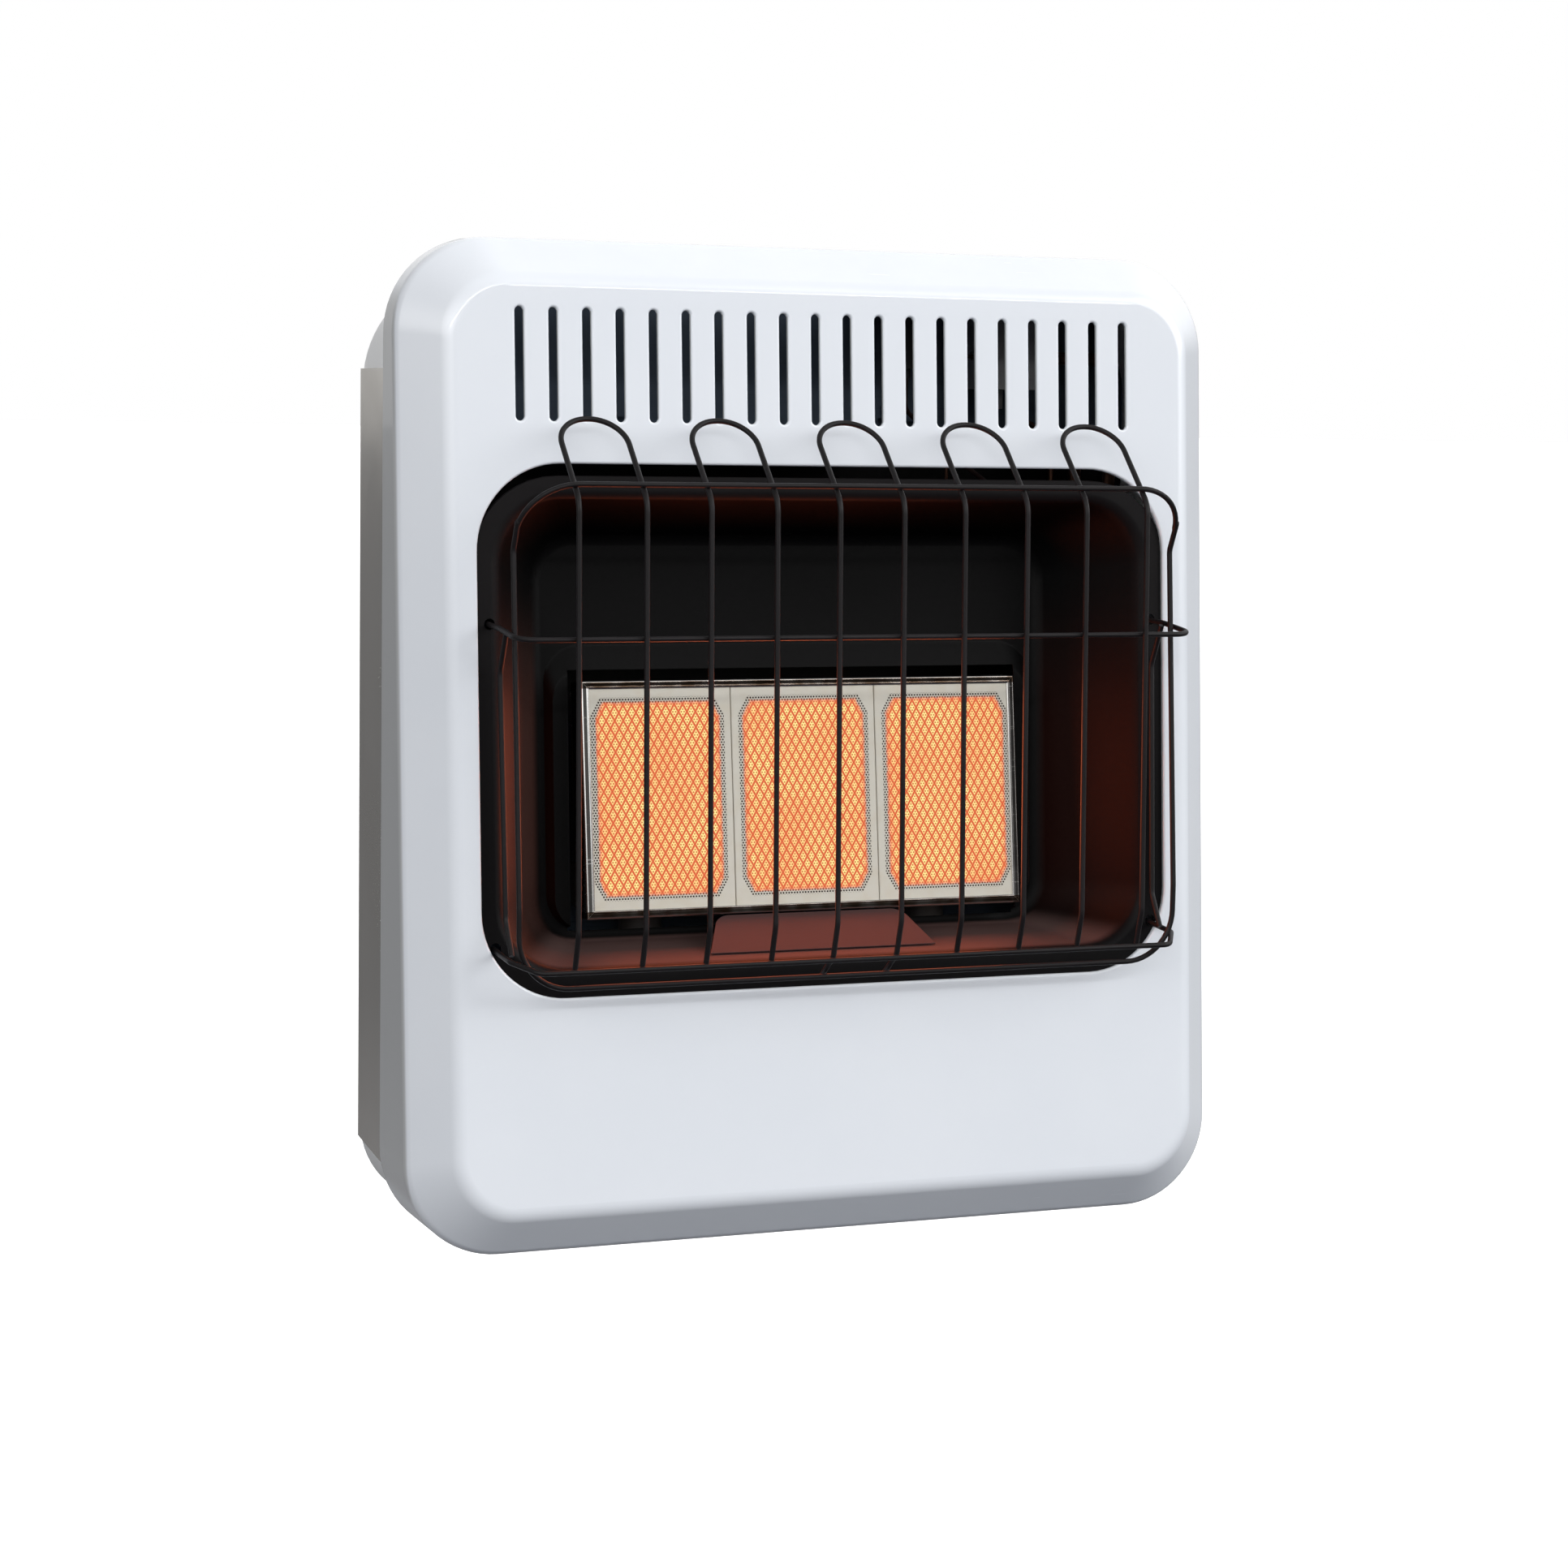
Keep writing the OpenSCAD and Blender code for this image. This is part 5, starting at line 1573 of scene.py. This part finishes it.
@dataclass
class ReflectorBowl:
    """The black bowl behind the window, with the raised panel that the burner looks out of."""

    sheet: float = 0.8 * MM
    flange: Ring = Ring(439 * MM, 144.75 * MM, 443.85 * MM, 52 * MM)
    flange_edge: float = 0.5 * MM
    flange_turn: float = 2.2 * MM  # how far the flange's edge turns back
    mouth: Ring = Ring(408 * MM, 163.7 * MM, 431.9 * MM, 38 * MM)
    mouth_soft: float = 4 * MM
    back: Ring = Ring(326 * MM, 175 * MM, 411.5 * MM, 26 * MM)
    back_soft: float = 5 * MM
    corner_share: float = 0.8  # of an inset that a corner's radius loses
    depth: float = 63 * MM
    panel: Ring = Ring(314 * MM, 180.5 * MM, 349 * MM, 22 * MM)
    panel_foot: float = 1 * MM
    panel_side: float = 3.5 * MM
    panel_ramp: float = 16 * MM
    panel_rise: float = 6 * MM
    panel_bends: tuple[float, float] = (0.12, 0.88)  # shares of the ramp where its bends end
    pocket: Ring = Ring(288.3 * MM, 180.4 * MM, 333.6 * MM, 6 * MM)
    pocket_reach: float = 40 * MM
    pilot_opening: Vector = Vector((100 * MM, 39 * MM, 32 * MM))
    pilot_middle: Vector = Vector((0, 19 * MM, 166 * MM))
    hook_radius: float = 3.2 * MM
    hook_reach: float = 10 * MM
    hooks: tuple[tuple[float, float], ...] = ((208.6 * MM, 360.3 * MM), (207.6 * MM, 177.6 * MM))

    def outline(self, depth: float, inset: float) -> Ring:
        """Returns the bowl's outline at a depth, shrunk by inset.

        Args:
            depth: Depth of the outline.
            inset: Distance that it is shrunk by.

        Returns:
            The outline.
        """
        wall = between(self.mouth, self.back, (depth - FLANGE_DEPTH) / self.depth)
        return Ring(
            wall.width - 2 * inset,
            wall.low + inset,
            wall.high - inset,
            wall.radius - self.corner_share * inset,
            depth,
        )

    def flange_rings(self) -> list[Ring]:
        """Returns the outlines of the flange's turned edge."""
        return [
            self.flange.moved(0, FLANGE_DEPTH + self.flange_turn),
            self.flange.moved(0, FLANGE_DEPTH + self.flange_edge),
            self.flange.moved(-self.flange_edge, FLANGE_DEPTH),
        ]

    def side_rings(self) -> list[Ring]:
        """Returns the outlines from the mouth's rounded edge to the bowl's back."""
        soft = self.mouth_soft
        rings = [
            self.outline(FLANGE_DEPTH + soft * (1 - math.cos(turn)), soft * (math.sin(turn) - 1))
            for turn in map(math.radians, (0, 22, 45, 68, 90))
        ]
        back, soft = FLANGE_DEPTH + self.depth, self.back_soft
        return rings + [
            self.outline(back - soft * (1 - math.sin(turn)), soft * (1 - math.cos(turn)))
            for turn in map(math.radians, range(0, 91, 18))
        ]

    def panel_rings(self) -> list[Ring]:
        """Returns the outlines of the raised panel's sloped edge."""
        foot = self.panel.moved(0, FLANGE_DEPTH + self.depth)
        top = Ring(
            foot.width - 2 * self.panel_side,
            foot.low + self.panel_foot,
            foot.high - self.panel_ramp,
            foot.radius - self.panel_side,
            foot.depth - self.panel_rise,
        )
        return [foot, *(between(foot, top, share) for share in self.panel_bends), top]

    def build(self) -> Object:
        """Returns the finished bowl."""
        piece = Workpiece("reflector_shell")
        panel = self.panel_rings()
        piece.loft(self.flange_rings()).loft(self.side_rings()).loft(panel)
        for depth in (FLANGE_DEPTH, panel[0].depth, panel[-1].depth):
            piece.fill_flat(depth)
        piece.face_room(lambda p: abs(p.y - FLANGE_DEPTH) < NEAR).to_bench()
        piece.thicken(self.sheet)
        pocket = self.pocket
        opening = Vector((pocket.width, self.pocket_reach, pocket.high - pocket.low))
        middle = Vector((0, panel[-1].depth, (pocket.low + pocket.high) / 2))
        piece.cut(block_cutter(opening, middle, Euler()))
        piece.cut(block_cutter(self.pilot_opening, self.pilot_middle, Euler()))
        for side in (-1, 1):
            for x, height in self.hooks:
                place = Vector((side * x, FLANGE_DEPTH, height))
                piece.cut(cylinder_cutter(self.hook_radius, self.hook_reach, place, Euler(UPRIGHT)))
        piece.place(LEANING).shade(35)
        return piece.finish(Body.HEATER, "black_enamel", "reflector_bowl")


# --- burner ---------------------------------------------------------------------------------------


@dataclass
class Burner:
    """Three ceramic plaques in a chromed bezel, and the plate in front of the pilot."""

    plaque_width: float = 92 * MM
    plaque_height: float = 132 * MM
    plaque_thick: float = 13 * MM
    plaque_front: float = 0.65 * MM
    plaque_corner: float = 1.5 * MM
    plaque_edges: tuple[float, float] = (0.5 * MM, 0.4 * MM)  # broken edges in front and behind
    bezel_corner: float = 1.2 * MM
    bezel_depth: float = 17.65 * MM
    bezel_sheet: float = 0.55 * MM
    strip: tuple[tuple[float, float], ...] = (
        (0.0, 1.2), (0.15, 0.6), (0.6, 0.1), (1.2, -0.15), (1.8, -0.1), (3.4, 0.0), (3.8, -0.3),
        (4.3, -0.35), (4.8, -0.1), (5.0, 0.1),
    )  # inset and depth of the front strip's section, in millimetres
    least_corner: float = 0.3 * MM
    mitre: Vector = Vector((7 * MM, 5 * MM, 0.22 * MM))  # cutter for the gap of a mitred corner
    mitre_inset: float = 3 * MM
    shield_top: tuple[float, float] = (103.6 * MM, 186.4 * MM)  # out from the wall, and height
    shield_foot: tuple[float, float] = (128.2 * MM, 168 * MM)
    shield_widths: tuple[float, float] = (118 * MM, 144 * MM)  # at its top and foot
    shield_corner: float = 7 * MM
    shield_sheet: float = 1 * MM
    shield_edge: float = 0.35 * MM
    field: tuple[float, float] = (266 * MM, 118 * MM)
    field_colour: Colour = (1.0, 0.15, 0.05)
    field_shine: float = 7.5
    field_gap: float = 2 * MM  # between the plaques and the light that stands for their glow

    def shed_light(self) -> None:
        """Adds the warm light that the plaques shed into the bowl."""
        holder = hang_lamp("plaque_light", self.field, self.field_shine)
        holder.data.color = self.field_colour
        turned = Matrix.Rotation(-math.pi / 2, 4, "X")
        holder.matrix_world = AT_BURNER @ Matrix.Translation((0, -self.field_gap, 0)) @ turned
        holder.visible_camera = False

    def build_plaque(self, name: str, column: int) -> Object:
        """Returns one plaque with softly broken edges.

        Args:
            name: Name of the piece.
            column: Its place from the middle one: -1, 0 or 1.

        Returns:
            The finished plaque.
        """
        piece = Workpiece(name, steps=3)
        front, back = self.plaque_front, self.plaque_front + self.plaque_thick
        front_edge, rear_edge = self.plaque_edges
        part_way = 0.3 * front_edge
        whole = centred_ring(self.plaque_width, self.plaque_height, self.plaque_corner, front)
        piece.loft([
            whole.moved(-rear_edge, back), whole.moved(0, back - rear_edge),
            whole.moved(0, front + front_edge), whole.moved(-part_way, front + part_way),
            whole.moved(-front_edge, front),
        ])
        piece.fill_flat(back).fill_flat(front).face_outwards().to_bench()
        piece.place(AT_BURNER @ Matrix.Translation((column * PLAQUE_PITCH, 0, 0))).shade(50)
        return piece.finish(Body.HEATER, "plaque", name.replace("tile", "plaque"))

    def build_bezel(self) -> Object:
        """Returns the bezel with its rolled strip and mitred corners."""
        piece = Workpiece("burner_frame", steps=3)
        whole = centred_ring(BEZEL_WIDTH, BEZEL_HEIGHT, self.bezel_corner, 0)
        rings = [whole.moved(0, self.bezel_depth)]
        for inset, depth in self.strip:
            ring = whole.moved(-inset * MM, depth * MM)
            rings.append(replace(ring, radius=max(self.least_corner, ring.radius)))
        piece.loft(rings)
        piece.face_room(lambda p: abs(p.y) < 0.5 * MM).to_bench()
        piece.thicken(self.bezel_sheet)
        x, z = BEZEL_WIDTH / 2 - self.mitre_inset, BEZEL_HEIGHT / 2 - self.mitre_inset
        for side in (-1, 1):
            for end in (-1, 1):
                turn = Euler((0, -math.radians(45) * side * end, 0))
                piece.cut(block_cutter(self.mitre, Vector((x * side, 0, z * end)), turn))
        piece.place(AT_BURNER).shade(35)
        return piece.finish(Body.HEATER, "chrome", "burner_bezel")

    def build_deflector(self) -> Object:
        """Returns the sloped plate with its round upper corners."""
        top_y, top_z = self.shield_top
        foot_y, foot_z = self.shield_foot
        top_width, foot_width = self.shield_widths
        reach = math.hypot(foot_y - top_y, top_z - foot_z)
        slope = math.atan2(top_z - foot_z, foot_y - top_y)
        piece = Workpiece("pilot_shield", steps=8)
        bpy.ops.mesh.primitive_plane_add(size=1, location=(0, reach / 2, 0))
        bpy.ops.transform.resize(value=(foot_width, reach, 1), center_override=(0, reach / 2, 0))
        piece.pick_verts(lambda p: p.y > reach - NEAR)
        bpy.ops.transform.resize(value=(top_width / foot_width, 1, 1), center_override=(0, reach, 0))
        bpy.ops.mesh.bevel(offset=self.shield_corner, segments=piece.steps, affect="VERTICES")
        piece.face_outwards().to_bench()
        piece.thicken(self.shield_sheet).soften(self.shield_edge)
        at_foot = HUNG @ Matrix.Translation((0, -foot_y, foot_z))
        piece.place(at_foot @ Matrix.Rotation(slope, 4, "X")).shade()
        return piece.finish(Body.HEATER, "black_enamel", "pilot_deflector")


# --- guard ----------------------------------------------------------------------------------------

Route = list[tuple[Vector, float]]


def at(x: float, out: float, height: float) -> Vector:
    """Returns a place from millimetres: across, out from the wall, and above the casing's bottom.

    Args:
        x: Distance to the right of the middle.
        out: Distance from the wall.
        height: Height above the casing's bottom edge.

    Returns:
        The place in the heater's frame.
    """
    return Vector((x * MM, -out * MM, height * MM - SCREW_LINE))


def mirrored(route: Route) -> Route:
    """Returns a route run backwards on the other side of the middle plane.

    Args:
        route: Route on one side.

    Returns:
        Its mirror image, from its end to its start.
    """
    return [(Vector((-p.x, p.y, p.z)), r) for p, r in reversed(route)]


def bend_points(route: Route, closed: bool) -> list[Vector]:
    """Returns the points of a route with its bends worked in.

    Args:
        route: Corners and the radii of their bends.
        closed: Whether the last corner leads back to the first.

    Returns:
        Points along the wire's middle line.
    """
    points: list[Vector] = []
    count = len(route)
    for i, (corner, radius) in enumerate(route):
        if radius == 0 or (not closed and i in (0, count - 1)):
            points.append(corner)
            continue
        before = (corner - route[i - 1][0]).normalized()
        after = (route[(i + 1) % count][0] - corner).normalized()
        turn = before.angle(after, 0.0)
        side = (after - before * before.dot(after)).normalized()
        start = corner - before * radius * math.tan(turn / 2)
        steps = max(2, math.ceil(turn / math.radians(7)))
        for k in range(steps + 1):
            a = turn * k / steps
            points.append(start + side * radius * (1 - math.cos(a)) + before * radius * math.sin(a))
    kept = [points[0]]
    for point in points[1:]:
        if (point - kept[-1]).length > NEAR:
            kept.append(point)
    if closed and (kept[0] - kept[-1]).length < NEAR:
        kept.pop()
    return kept


def bent_rod(
    name: str, routes: Sequence[Route], thickness: float, closed: bool = False
) -> Workpiece:
    """Bends round rod along routes.

    Args:
        name: Name of the piece.
        routes: One route for each separate rod.
        thickness: Diameter of the rod, in metres.
        closed: Whether each rod's ends meet.

    Returns:
        The rods as one mesh on the bench.
    """
    curve = bpy.data.curves.new(name, "CURVE")
    curve.dimensions = "3D"
    curve.bevel_depth = thickness / 2
    curve.bevel_resolution = 4
    curve.use_fill_caps = True
    for route in routes:
        points = bend_points(route, closed)
        spline = curve.splines.new("POLY")
        spline.points.add(len(points) - 1)
        for place, point in zip(spline.points, points):
            place.co = (*point, 1)
        spline.use_cyclic_u = closed
    rod = bpy.data.objects.new(name, curve)
    bpy.context.scene.collection.objects.link(rod)
    take_up(rod)
    bpy.ops.object.convert(target="MESH")
    piece = Workpiece(name + "_rod")
    piece.to_bench().join(bpy.data.objects[name])
    piece.obj.name = name
    return piece.to_edit().face_outwards().to_bench()


@dataclass(frozen=True)
class CrossWire:
    """The right half of a wire that runs across the guard, in millimetres."""

    end: tuple[float, float]  # across and height, where it hooks into the flange
    leg: tuple[float, float]  # out and height of its bend beside the hook
    front: tuple[float, float, float]  # across, out and height of its front corner
    bends: tuple[float, float]  # radii of the two bends


@dataclass
class WireGuard:
    """The black wire guard: frame, cross wires, side uprights and hairpins.

    The wire is in metres, and the places along its routes are millimetres, as for at().
    """

    wire: float = 3.2 * MM
    side_x: float = 204.5
    upright_x: float = 205.3
    pitch: float = 77.7
    half: float = 19.8
    count: int = 5
    hooked_back: float = 6.0
    middle: CrossWire = CrossWire((208.6, 361), (150, 359.8), (208.6, 185.5, 355.7), (10, 12))
    bottom: CrossWire = CrossWire((207.6, 178), (171, 175.5), (196, 190.9, 171.3), (7, 8))

    def flange_out(self, height: float) -> float:
        """Returns how far the bowl's flange is from the wall at a height.

        Args:
            height: Height above the casing's bottom edge.

        Returns:
            The distance from the wall.
        """
        depth = FLANGE_DEPTH / MM
        up = (height + depth * math.sin(LEAN)) / math.cos(LEAN)
        return RIM_LOW_Y / MM - depth * math.cos(LEAN) - up * math.sin(LEAN)

    def frame(self) -> Route:
        """Returns the frame's closed route."""
        x = self.side_x
        right = [
            (at(x, 182.2, 441), 32 * MM), (at(x, 168.5, 420), 8 * MM), (at(x, 160.8, 404), 8 * MM),
            (at(x, 177.4, 205), 30 * MM), (at(x, 177.4, 160), 30 * MM),
        ]
        return right + mirrored(right)

    def crossing(self, cross: CrossWire) -> Route:
        """Returns the route of a wire across the guard that hooks into the flange.

        Args:
            cross: The wire's right half.

        Returns:
            The whole wire's route.
        """
        x, height = cross.end
        leg_bend, front_bend = cross.bends
        right = [
            (at(x, self.flange_out(height) - self.hooked_back, height), 0.0),
            (at(x, *cross.leg), leg_bend * MM),
            (at(*cross.front), front_bend * MM),
        ]
        return right + mirrored(right)

    def upright(self, side: int) -> Route:
        """Returns the route of the wire between the hooks of one side, -1 or 1.

        Args:
            side: Side of the guard, -1 on the left or 1.

        Returns:
            The wire's route.
        """
        top, low = side * self.upright_x, side * (self.upright_x - 1.1)
        return [
            (at(top, 152, 358.8), 0.0), (at(top, 140.6, 335), 10 * MM),
            (at(low, 151.6, 196), 10 * MM), (at(low, 163, 177.5), 0.0),
        ]

    def hairpin(self, number: int) -> Route:
        """Returns the route of one hairpin; the middle one reaches in under the bottom wire.

        Args:
            number: Its place from the left, from 1.

        Returns:
            The hairpin's route.
        """
        middle = (number - (self.count + 1) / 2) * self.pitch
        low = (187.95, 172.85)
        start = [((170.6, 159.2), 0.0), (low, 7.0)] if middle == 0 else [(low, 0.0)]
        rest = [((193.6, 193), 12.0), ((186.6, 432), 16.0), ((141.5, 476.5), self.half - 0.4)]
        leg = [(at(-self.half, *place), bend * MM) for place, bend in start + rest]
        shift = Vector((middle * MM, 0, 0))
        return [(point + shift, bend) for point, bend in leg + mirrored(leg)]

    def build(self) -> list[Object]:
        """Returns all the guard's wires."""
        plan = {
            "frame_wire": [self.frame()],
            "middle_wire": [self.crossing(self.middle)],
            "bottom_wire": [self.crossing(self.bottom)],
            "side_wires": [self.upright(side) for side in (-1, 1)],
        }
        plan |= {f"hairpin_{n}": [self.hairpin(n)] for n in range(1, self.count + 1)}
        return [
            bent_rod(name, routes, self.wire, closed=name == "frame_wire")
            .shade(60)
            .finish(Body.HEATER, "black_enamel", "guard_" + name)
            for name, routes in plan.items()
        ]


# --- controls -------------------------------------------------------------------------------------


@dataclass
class Controls:
    """The gas control's knob and the ignitor's button on the cabinet's top."""

    knob_radius: float = 19 * MM
    skirt_share: float = 0.45  # of the knob's height
    grip: float = 11 * MM  # width of the grip bar at its foot
    grip_inset: float = 2.5 * MM  # from the skirt's edge to the bar's ends
    grip_corner: float = 3 * MM

    def build_knob(self) -> Object:
        """Returns the knob: a round skirt with a grip bar across its top."""
        low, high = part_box("control_knob")
        middle = (low + high) / 2
        height = high.z - low.z
        skirt = self.skirt_share * height
        r = self.knob_radius
        piece = Workpiece("knob_cap")
        piece.turn(
            [
                (r - 1.2 * MM, 0), (r - 0.2 * MM, 0.3 * MM), (r, 0.9 * MM), (r, skirt - 1.5 * MM),
                (r - 0.5 * MM, skirt - 0.4 * MM), (r - 1.6 * MM, skirt),
                (r - 3 * MM, skirt + 0.1 * MM),
            ],
            sides=72,
        )
        piece.face_outwards().to_bench()
        piece.join(self._grip_bar(skirt, height - skirt))
        piece.place(Matrix.Translation((middle.x, middle.y, low.z))).shade(35)
        return piece.finish(Body.KNOB, "black_plastic", "control_knob")

    def _grip_bar(self, foot: float, rise: float) -> Object:
        """Returns the grip bar, with a given foot's height and rise.

        Args:
            foot: Height of the bar's foot.
            rise: How far the bar rises from there.

        Returns:
            The bar.
        """
        bar = Workpiece("knob_grip", steps=6)
        reach = self.knob_radius - self.grip_inset
        base = Ring(self.grip, -reach, reach, self.grip_corner)
        bar.loft([
            base.moved(0, 0), base.moved(-0.6 * MM, -rise * 0.6),
            base.moved(-1.0 * MM, -rise + 0.7 * MM), base.moved(-1.7 * MM, -rise),
        ])
        bar.fill_flat(0).fill_flat(-rise).face_outwards().to_bench()
        bar.place(Matrix.Translation((0, 0, foot)) @ Matrix.Rotation(-math.pi / 2, 4, "X"))
        return bar.obj

    def build_button(self) -> Object:
        """Returns the ignitor's button with its dished top."""
        low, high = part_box("ignitor_button")
        middle = (low + high) / 2
        r = (high.x - low.x) / 2
        height = high.z - low.z
        piece = Workpiece("button_cap")
        piece.turn([
            (r - 2 * MM, 0), (r - 2 * MM, height - 4.2 * MM), (r - 0.3 * MM, height - 4.0 * MM),
            (r, height - 3.7 * MM), (r, height - 1.2 * MM), (r - 0.4 * MM, height - 0.4 * MM),
            (r - 1.2 * MM, height), (r - 2.4 * MM, height - 0.25 * MM), (r * 0.35, height - 0.7 * MM),
        ])
        piece.face_outwards().to_bench()
        piece.place(Matrix.Translation((middle.x, middle.y, low.z))).shade(35)
        return piece.finish(Body.BUTTON, "black_plastic", "ignitor_button")


# --- studio ---------------------------------------------------------------------------------------


@dataclass(frozen=True)
class Field:
    """A soft brighter or darker part of the surroundings, as reflections show it."""

    aim: tuple[float, float, float]  # direction of its middle
    start: float  # cosine to its middle where it begins to show
    end: float  # cosine where it shows in full
    level: float  # its brightness


@dataclass(frozen=True)
class SoftLight:
    """A flat light that shines at the heater."""

    name: str
    bearing: float  # angle from straight ahead of the heater towards its right, in degrees
    height: float  # angle above the level, in degrees
    size: tuple[float, float]  # width and height of its face, in metres
    shine: float


@dataclass
class Studio:
    """Camera, soft lights, pale surroundings and a pale floor."""

    lens: float = 78.65  # focal length for a frame of this width, in millimetres
    frame_width: float = 36
    azimuth: float = -22.0896  # the camera's turns, in degrees
    elevation: float = 6.162
    roll: float = 0.974
    eye: Vector = Vector((-775.95 * MM, -1971.6 * MM, 11.3 * MM))
    closest: float = 0.05  # nearest distance that the camera shows
    floor: float = -1.15
    floor_size: float = 400
    floor_seen: Colour = (0.9, 0.9, 0.9)
    floor_glow: float = 0.6
    floor_near: Colour = (0.018, 0.025, 0.044)  # under the heater's front, in reflections
    floor_far: Colour = (0.15, 0.152, 0.157)
    floor_behind: Colour = (0.3, 0.3, 0.31)
    near_reach: tuple[float, float] = (2.0, 5.0)
    behind_reach: tuple[float, float] = (0.0, 0.6)
    lit: Vector = Vector((0, -0.1, -0.18))  # where the lights are aimed
    reach: float = 2.6  # from there to each light
    side_tone: float = 0.08
    fields: tuple[Field, ...] = (
        Field((-0.95, -1, 0.1), 0.62, 0.95, 3.4),  # ahead, on the left
        Field((1, -0.6, -0.05), 0.45, 0.92, 7.2),  # ahead, on the right
        Field((0, 0, 1), 0.3, 0.9, 0.3),  # overhead
        Field((0.8, 0.7, 0.3), 0.2, 0.85, 1.1),  # behind, on the right
        Field((0, 0, -1), -0.28, 0.0, 0.12),  # the horizon and below
        Field((-0.37, 0.93, 0.06), 0.93, 0.98, 0.6),  # behind, as the steel side mirrors it
        Field((0.372, -0.921, 0.104), 0.89, 0.98, 0.08),  # ahead, as the leaning face mirrors it
    )
    lights: tuple[SoftLight, ...] = (
        SoftLight("overhead_light", 8, 52, (1.6, 1.2), 0.33),
        SoftLight("strip_light", 5, 24, (3.0, 0.05), 22),
    )

    def place_camera(self) -> None:
        """Puts the camera where the photograph was taken from."""
        a, e, r = (math.radians(v) for v in (self.azimuth, self.elevation, self.roll))
        back = Vector((math.sin(a) * math.cos(e), -math.cos(a) * math.cos(e), math.sin(e)))
        right = Vector((math.cos(a), math.sin(a), 0))
        up = back.cross(right)
        turned_right = right * math.cos(r) + up * math.sin(r)
        turned_up = up * math.cos(r) - right * math.sin(r)
        camera = bpy.data.cameras.new("camera")
        camera.lens = self.lens
        camera.sensor_width = self.frame_width
        camera.clip_start = self.closest
        holder = bpy.data.objects.new("camera", camera)
        bpy.context.scene.collection.objects.link(holder)
        frame = Matrix((turned_right, turned_up, back)).transposed().to_4x4()
        holder.matrix_world = Matrix.Translation(self.eye) @ frame
        bpy.context.scene.camera = holder

    def place_floor(self) -> None:
        """Lays the floor far below the heater: white to the eye, and a soft grey in reflections."""
        bpy.ops.object.select_all(action="DESELECT")
        bpy.ops.mesh.primitive_plane_add(size=self.floor_size, location=(0, 0, self.floor))
        floor = bpy.context.active_object
        floor.name = "floor"
        material, graph, shader, place = new_material("pale_floor")
        seen = graph.add("LightPath").outputs["Is Camera Ray"]
        away = graph.add("VectorMath", {"operation": "LENGTH"}, Vector=place).outputs["Value"]
        behind = graph.ramp(graph.dot(place, (0, 1, 0)), *self.behind_reach)
        near = graph.mix(behind, full(self.floor_near), full(self.floor_behind))
        tone = graph.mix(graph.ramp(away, *self.near_reach), near, full(self.floor_far))
        graph.put(shader.inputs["Base Color"], graph.mix(seen, tone, full(self.floor_seen)))
        graph.put(shader.inputs["Emission Color"], graph.mix(seen, full((0,) * 3), full((1,) * 3)))
        set_plain(shader, Emission_Strength=self.floor_glow, Roughness=0.9)
        floor.data.materials.append(material)

    def hang(self, light: SoftLight) -> None:
        """Hangs a soft light round the heater and turns it towards it.

        Args:
            light: Light to hang.
        """
        a, e = math.radians(light.bearing), math.radians(light.height)
        aim = Vector((math.sin(a) * math.cos(e), -math.cos(a) * math.cos(e), math.sin(e)))
        holder = hang_lamp(light.name, light.size, light.shine)
        holder.location = self.lit + aim * self.reach
        holder.rotation_euler = aim.to_track_quat("Z", "Y").to_euler()

    def surround(self) -> None:
        """Makes the surroundings white to the eye, and soft and uneven in reflections."""
        world = bpy.data.worlds.new("studio")
        world.use_nodes = True
        bpy.context.scene.world = world
        graph = Graph(world.node_tree)
        background = world.node_tree.nodes["Background"]
        direction = graph.add("TexCoord").outputs["Generated"]
        seen = graph.add("LightPath").outputs["Is Camera Ray"]
        tone = full((self.side_tone,) * 3)
        for field in self.fields:
            aimed = graph.dot(direction, Vector(field.aim).normalized())
            share = graph.ramp(aimed, field.start, field.end)
            tone = graph.mix(share, tone, full((field.level,) * 3))
        graph.put(background.inputs["Color"], graph.mix(seen, tone, full((1,) * 3)))
        background.inputs["Strength"].default_value = 1.0

    def build(self) -> None:
        """Sets the whole studio up."""
        bpy.context.scene.view_settings.view_transform = "Standard"
        self.place_camera()
        self.place_floor()
        self.surround()
        for light in self.lights:
            self.hang(light)


# --- assembly -------------------------------------------------------------------------------------


def main() -> None:
    """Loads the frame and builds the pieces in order."""
    logging.basicConfig(level=logging.INFO, format="%(name)s: %(message)s")
    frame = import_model()
    slots = {part["node"]: part["material_slot"] for part in frame["record"]["subparts"]}
    slots["mixer_tubes"] = "burner_steel"  # painted shade: given the burner's near black finish, for the shade under the burner
    Studio().build()
    finishes = build_finishes()
    finishes.dress_nodes(frame["nodes"], slots)

    burner = Burner()
    burner.shed_light()
    controls = Controls()
    bowl = ReflectorBowl().build()
    pieces = [FrontCasing().build(), bowl, burner.build_bezel()]
    pieces += [
        burner.build_plaque(name, column)
        for column, name in enumerate(("tile_left", "tile_middle", "tile_right"), start=-1)
    ]
    shield = burner.build_deflector()
    pieces.append(shield)
    guard = WireGuard().build()
    pieces += guard
    knob = controls.build_knob()
    pieces += [knob, controls.build_button()]
    for piece in pieces:
        finishes.dress(piece, piece["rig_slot"])
    for wire in guard:
        finishes.dress(wire, "guard_wire")
    finishes.dress(knob, "pointed_plastic")
    # painted glow of the plaques on the bowl and the plate
    finishes.dress(bowl, "glow_painted_enamel")
    finishes.dress(shield, "glow_painted_plate")


if __name__ == "__main__":
    main()
